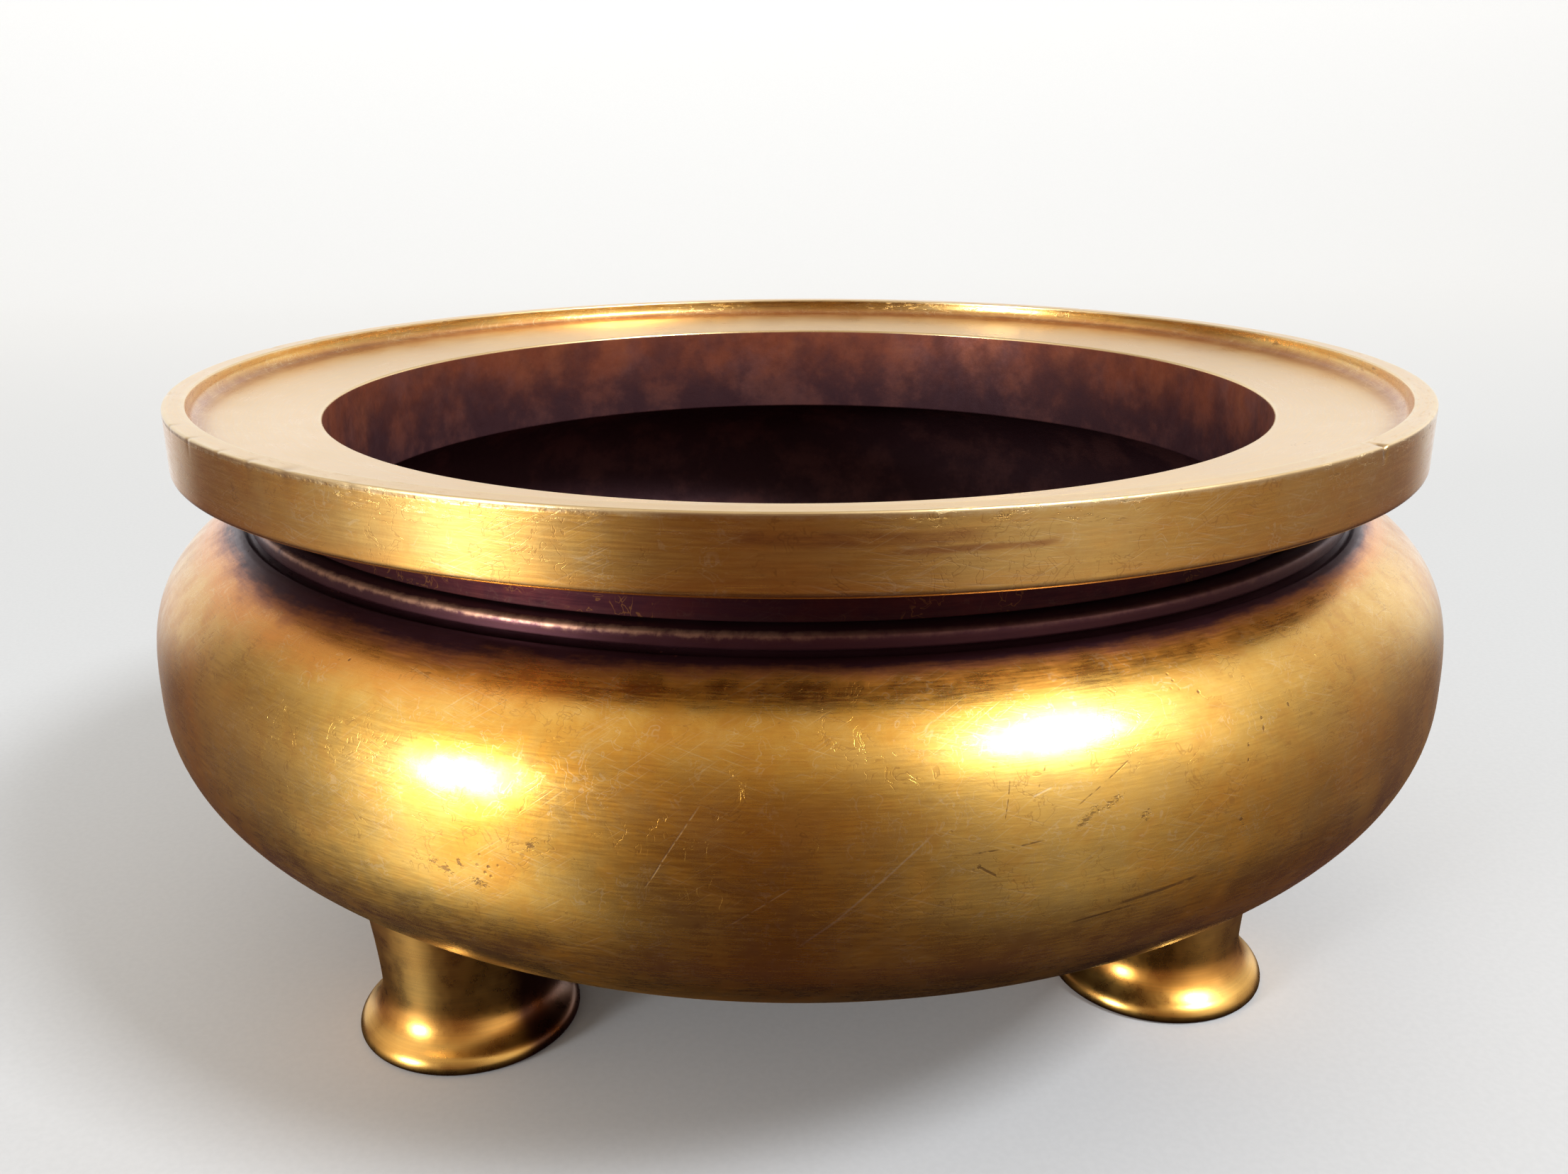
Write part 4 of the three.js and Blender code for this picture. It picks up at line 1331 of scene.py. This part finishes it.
def make_world():
    """A plain pale studio for the floor and the camera. The brass reflects a room by direction: a dark
    table below, a dim room in front, a brighter ceiling and a pale wall behind, and the windows' glows."""
    world = bpy.data.worlds.new("plain_room")
    world.use_nodes = True
    world.cycles.sampling_method = "NONE"
    graph = Graph(world.node_tree)
    background = next(node for node in world.node_tree.nodes if node.type == "BACKGROUND")
    toward = graph.put("ShaderNodeTexCoord").outputs["Generated"]
    right, back, up = graph.parts(toward)
    sinking = graph.math("MINIMUM", up, 0.0)
    behind = graph.plus(back, graph.times(right, 0.08), graph.times(up, 0.1), graph.times(sinking, 0.8))
    room = graph.blend(graph.span(behind, 0.36, 0.72), ROOM_TONE, WALL_TONE)
    room = graph.blend(graph.span(up, 0.05, 0.95), room, CEILING_TONE)
    room = graph.blend(graph.span(up, -0.58, -0.16), TABLE_TONE, room)
    for azimuth, elevation, strength, power in GLOWS:
        aligned = graph.put("ShaderNodeVectorMath", operation="DOT_PRODUCT")
        graph.feed(aligned.inputs[0], toward)
        graph.feed(aligned.inputs[1], direction(azimuth, elevation))
        near = graph.math("POWER", graph.math("MAXIMUM", aligned.outputs["Value"], 0.0), power)
        parts = [graph.times(near, strength * tone) for tone in GLOW_TONE]
        room = graph.blend(1.0, room, graph.vector(*parts), "ADD")
    reflected = graph.put("ShaderNodeLightPath").outputs["Is Glossy Ray"]
    graph.feed(background.inputs["Color"], graph.blend(reflected, STUDIO_TONE, room))
    bpy.context.scene.world = world


def make_camera():
    """The camera at the photograph's place, with no depth of field."""
    camera = bpy.data.objects.new("camera", bpy.data.cameras.new("camera"))
    camera.data.sensor_width = 36.0
    camera.data.lens = CAMERA_LENS
    camera.data.clip_start, camera.data.clip_end = 0.01, 30.0
    camera.matrix_world = (
        Matrix.Translation(CAMERA_PLACE)
        @ Matrix.Rotation(np.radians(CAMERA_HEADING), 4, "Z")
        @ Matrix.Rotation(np.radians(90.0 + CAMERA_PITCH), 4, "X")
        @ Matrix.Rotation(np.radians(CAMERA_ROLL), 4, "Z")
    )
    bpy.context.scene.collection.objects.link(camera)
    bpy.context.scene.camera = camera


# Operators, panel and the run


class BURNER_OT_bowl(bpy.types.Operator):
    """Makes the bowl's shell and the three bosses inside it."""

    bl_idname = "burner.bowl"
    bl_label = "Make the bowl"

    def execute(self, context):
        sizes, tones = context.scene.burner_sizes, context.scene.burner_finish
        inside = inner_finish("bowl_inside", tones, COLLAR_TOP, 6 * MM, 0.5)
        make_bowl(sizes, [belly_finish(sizes, tones), inside])
        for place in PLACES:
            make_boss(sizes, place, inside)
        return {"FINISHED"}


class BURNER_OT_rim(bpy.types.Operator):
    """Makes the rim with its tray, lip, neck and spigot."""

    bl_idname = "burner.rim"
    bl_label = "Make the rim"

    def execute(self, context):
        sizes, tones = context.scene.burner_sizes, context.scene.burner_finish
        mouth_wall = inner_finish("mouth_wall", tones, SPIGOT_BOTTOM, 21 * MM, 0.6)
        make_rim(sizes, [rim_finish(sizes, tones), mouth_wall])
        return {"FINISHED"}


class BURNER_OT_feet(bpy.types.Operator):
    """Makes the three spool feet."""

    bl_idname = "burner.feet"
    bl_label = "Make the feet"

    def execute(self, context):
        finish = foot_finish(context.scene.burner_finish)
        for place in PLACES:
            make_foot(context.scene.burner_sizes, place, finish)
        return {"FINISHED"}


class BURNER_OT_fixings(bpy.types.Operator):
    """Gives the frame's screws and washers their finish."""

    bl_idname = "burner.fixings"
    bl_label = "Finish the fixings"

    def execute(self, context):
        finish = fixing_finish(context.scene.burner_finish)
        for place in PLACES:
            for kind in ("foot_screw", "foot_washer"):
                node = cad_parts[f"{kind}_{place}"]
                for slot in node.material_slots:
                    slot.material = finish
        return {"FINISHED"}


class BURNER_OT_stage(bpy.types.Operator):
    """Makes the sweep, the lights and the camera."""

    bl_idname = "burner.stage"
    bl_label = "Make the stage"

    def execute(self, context):
        make_sweep()
        make_world()
        make_camera()
        make_window("left_window", (-1.07, -0.68, 0.26), 0.26, 0.36, 11.0, WINDOW_TONE)
        make_window("right_window", (0.66, -0.68, 1.04), 0.34, 0.26, 14.0, WINDOW_TONE)
        context.scene.view_settings.view_transform = "Standard"
        context.scene.cycles.use_denoising = True
        return {"FINISHED"}


class BURNER_PT_panel(bpy.types.Panel):
    """Lists the burner's operators in the 3D view's sidebar."""

    bl_label = "Incense Burner"
    bl_idname = "BURNER_PT_panel"
    bl_space_type = "VIEW_3D"
    bl_region_type = "UI"
    bl_category = "Burner"

    def draw(self, context):
        for operator in OPERATORS:
            self.layout.operator(operator.bl_idname)
        for group in (context.scene.burner_sizes, context.scene.burner_finish):
            for name in group.bl_rna.properties.keys():
                if name not in ("rna_type", "name"):
                    self.layout.prop(group, name)


OPERATORS = (BURNER_OT_bowl, BURNER_OT_rim, BURNER_OT_feet, BURNER_OT_fixings, BURNER_OT_stage)
CLASSES = (BurnerSizes, BurnerFinish, *OPERATORS, BURNER_PT_panel)


def register():
    for cls in CLASSES:
        bpy.utils.register_class(cls)
    bpy.types.Scene.burner_sizes = PointerProperty(type=BurnerSizes)
    bpy.types.Scene.burner_finish = PointerProperty(type=BurnerFinish)


def unregister():
    del bpy.types.Scene.burner_finish
    del bpy.types.Scene.burner_sizes
    for cls in reversed(CLASSES):
        bpy.utils.unregister_class(cls)


def main():
    """Registers the add-on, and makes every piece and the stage."""
    register()
    bpy.ops.burner.bowl()
    bpy.ops.burner.rim()
    bpy.ops.burner.feet()
    bpy.ops.burner.fixings()
    bpy.ops.burner.stage()


if __name__ == "__main__":
    main()
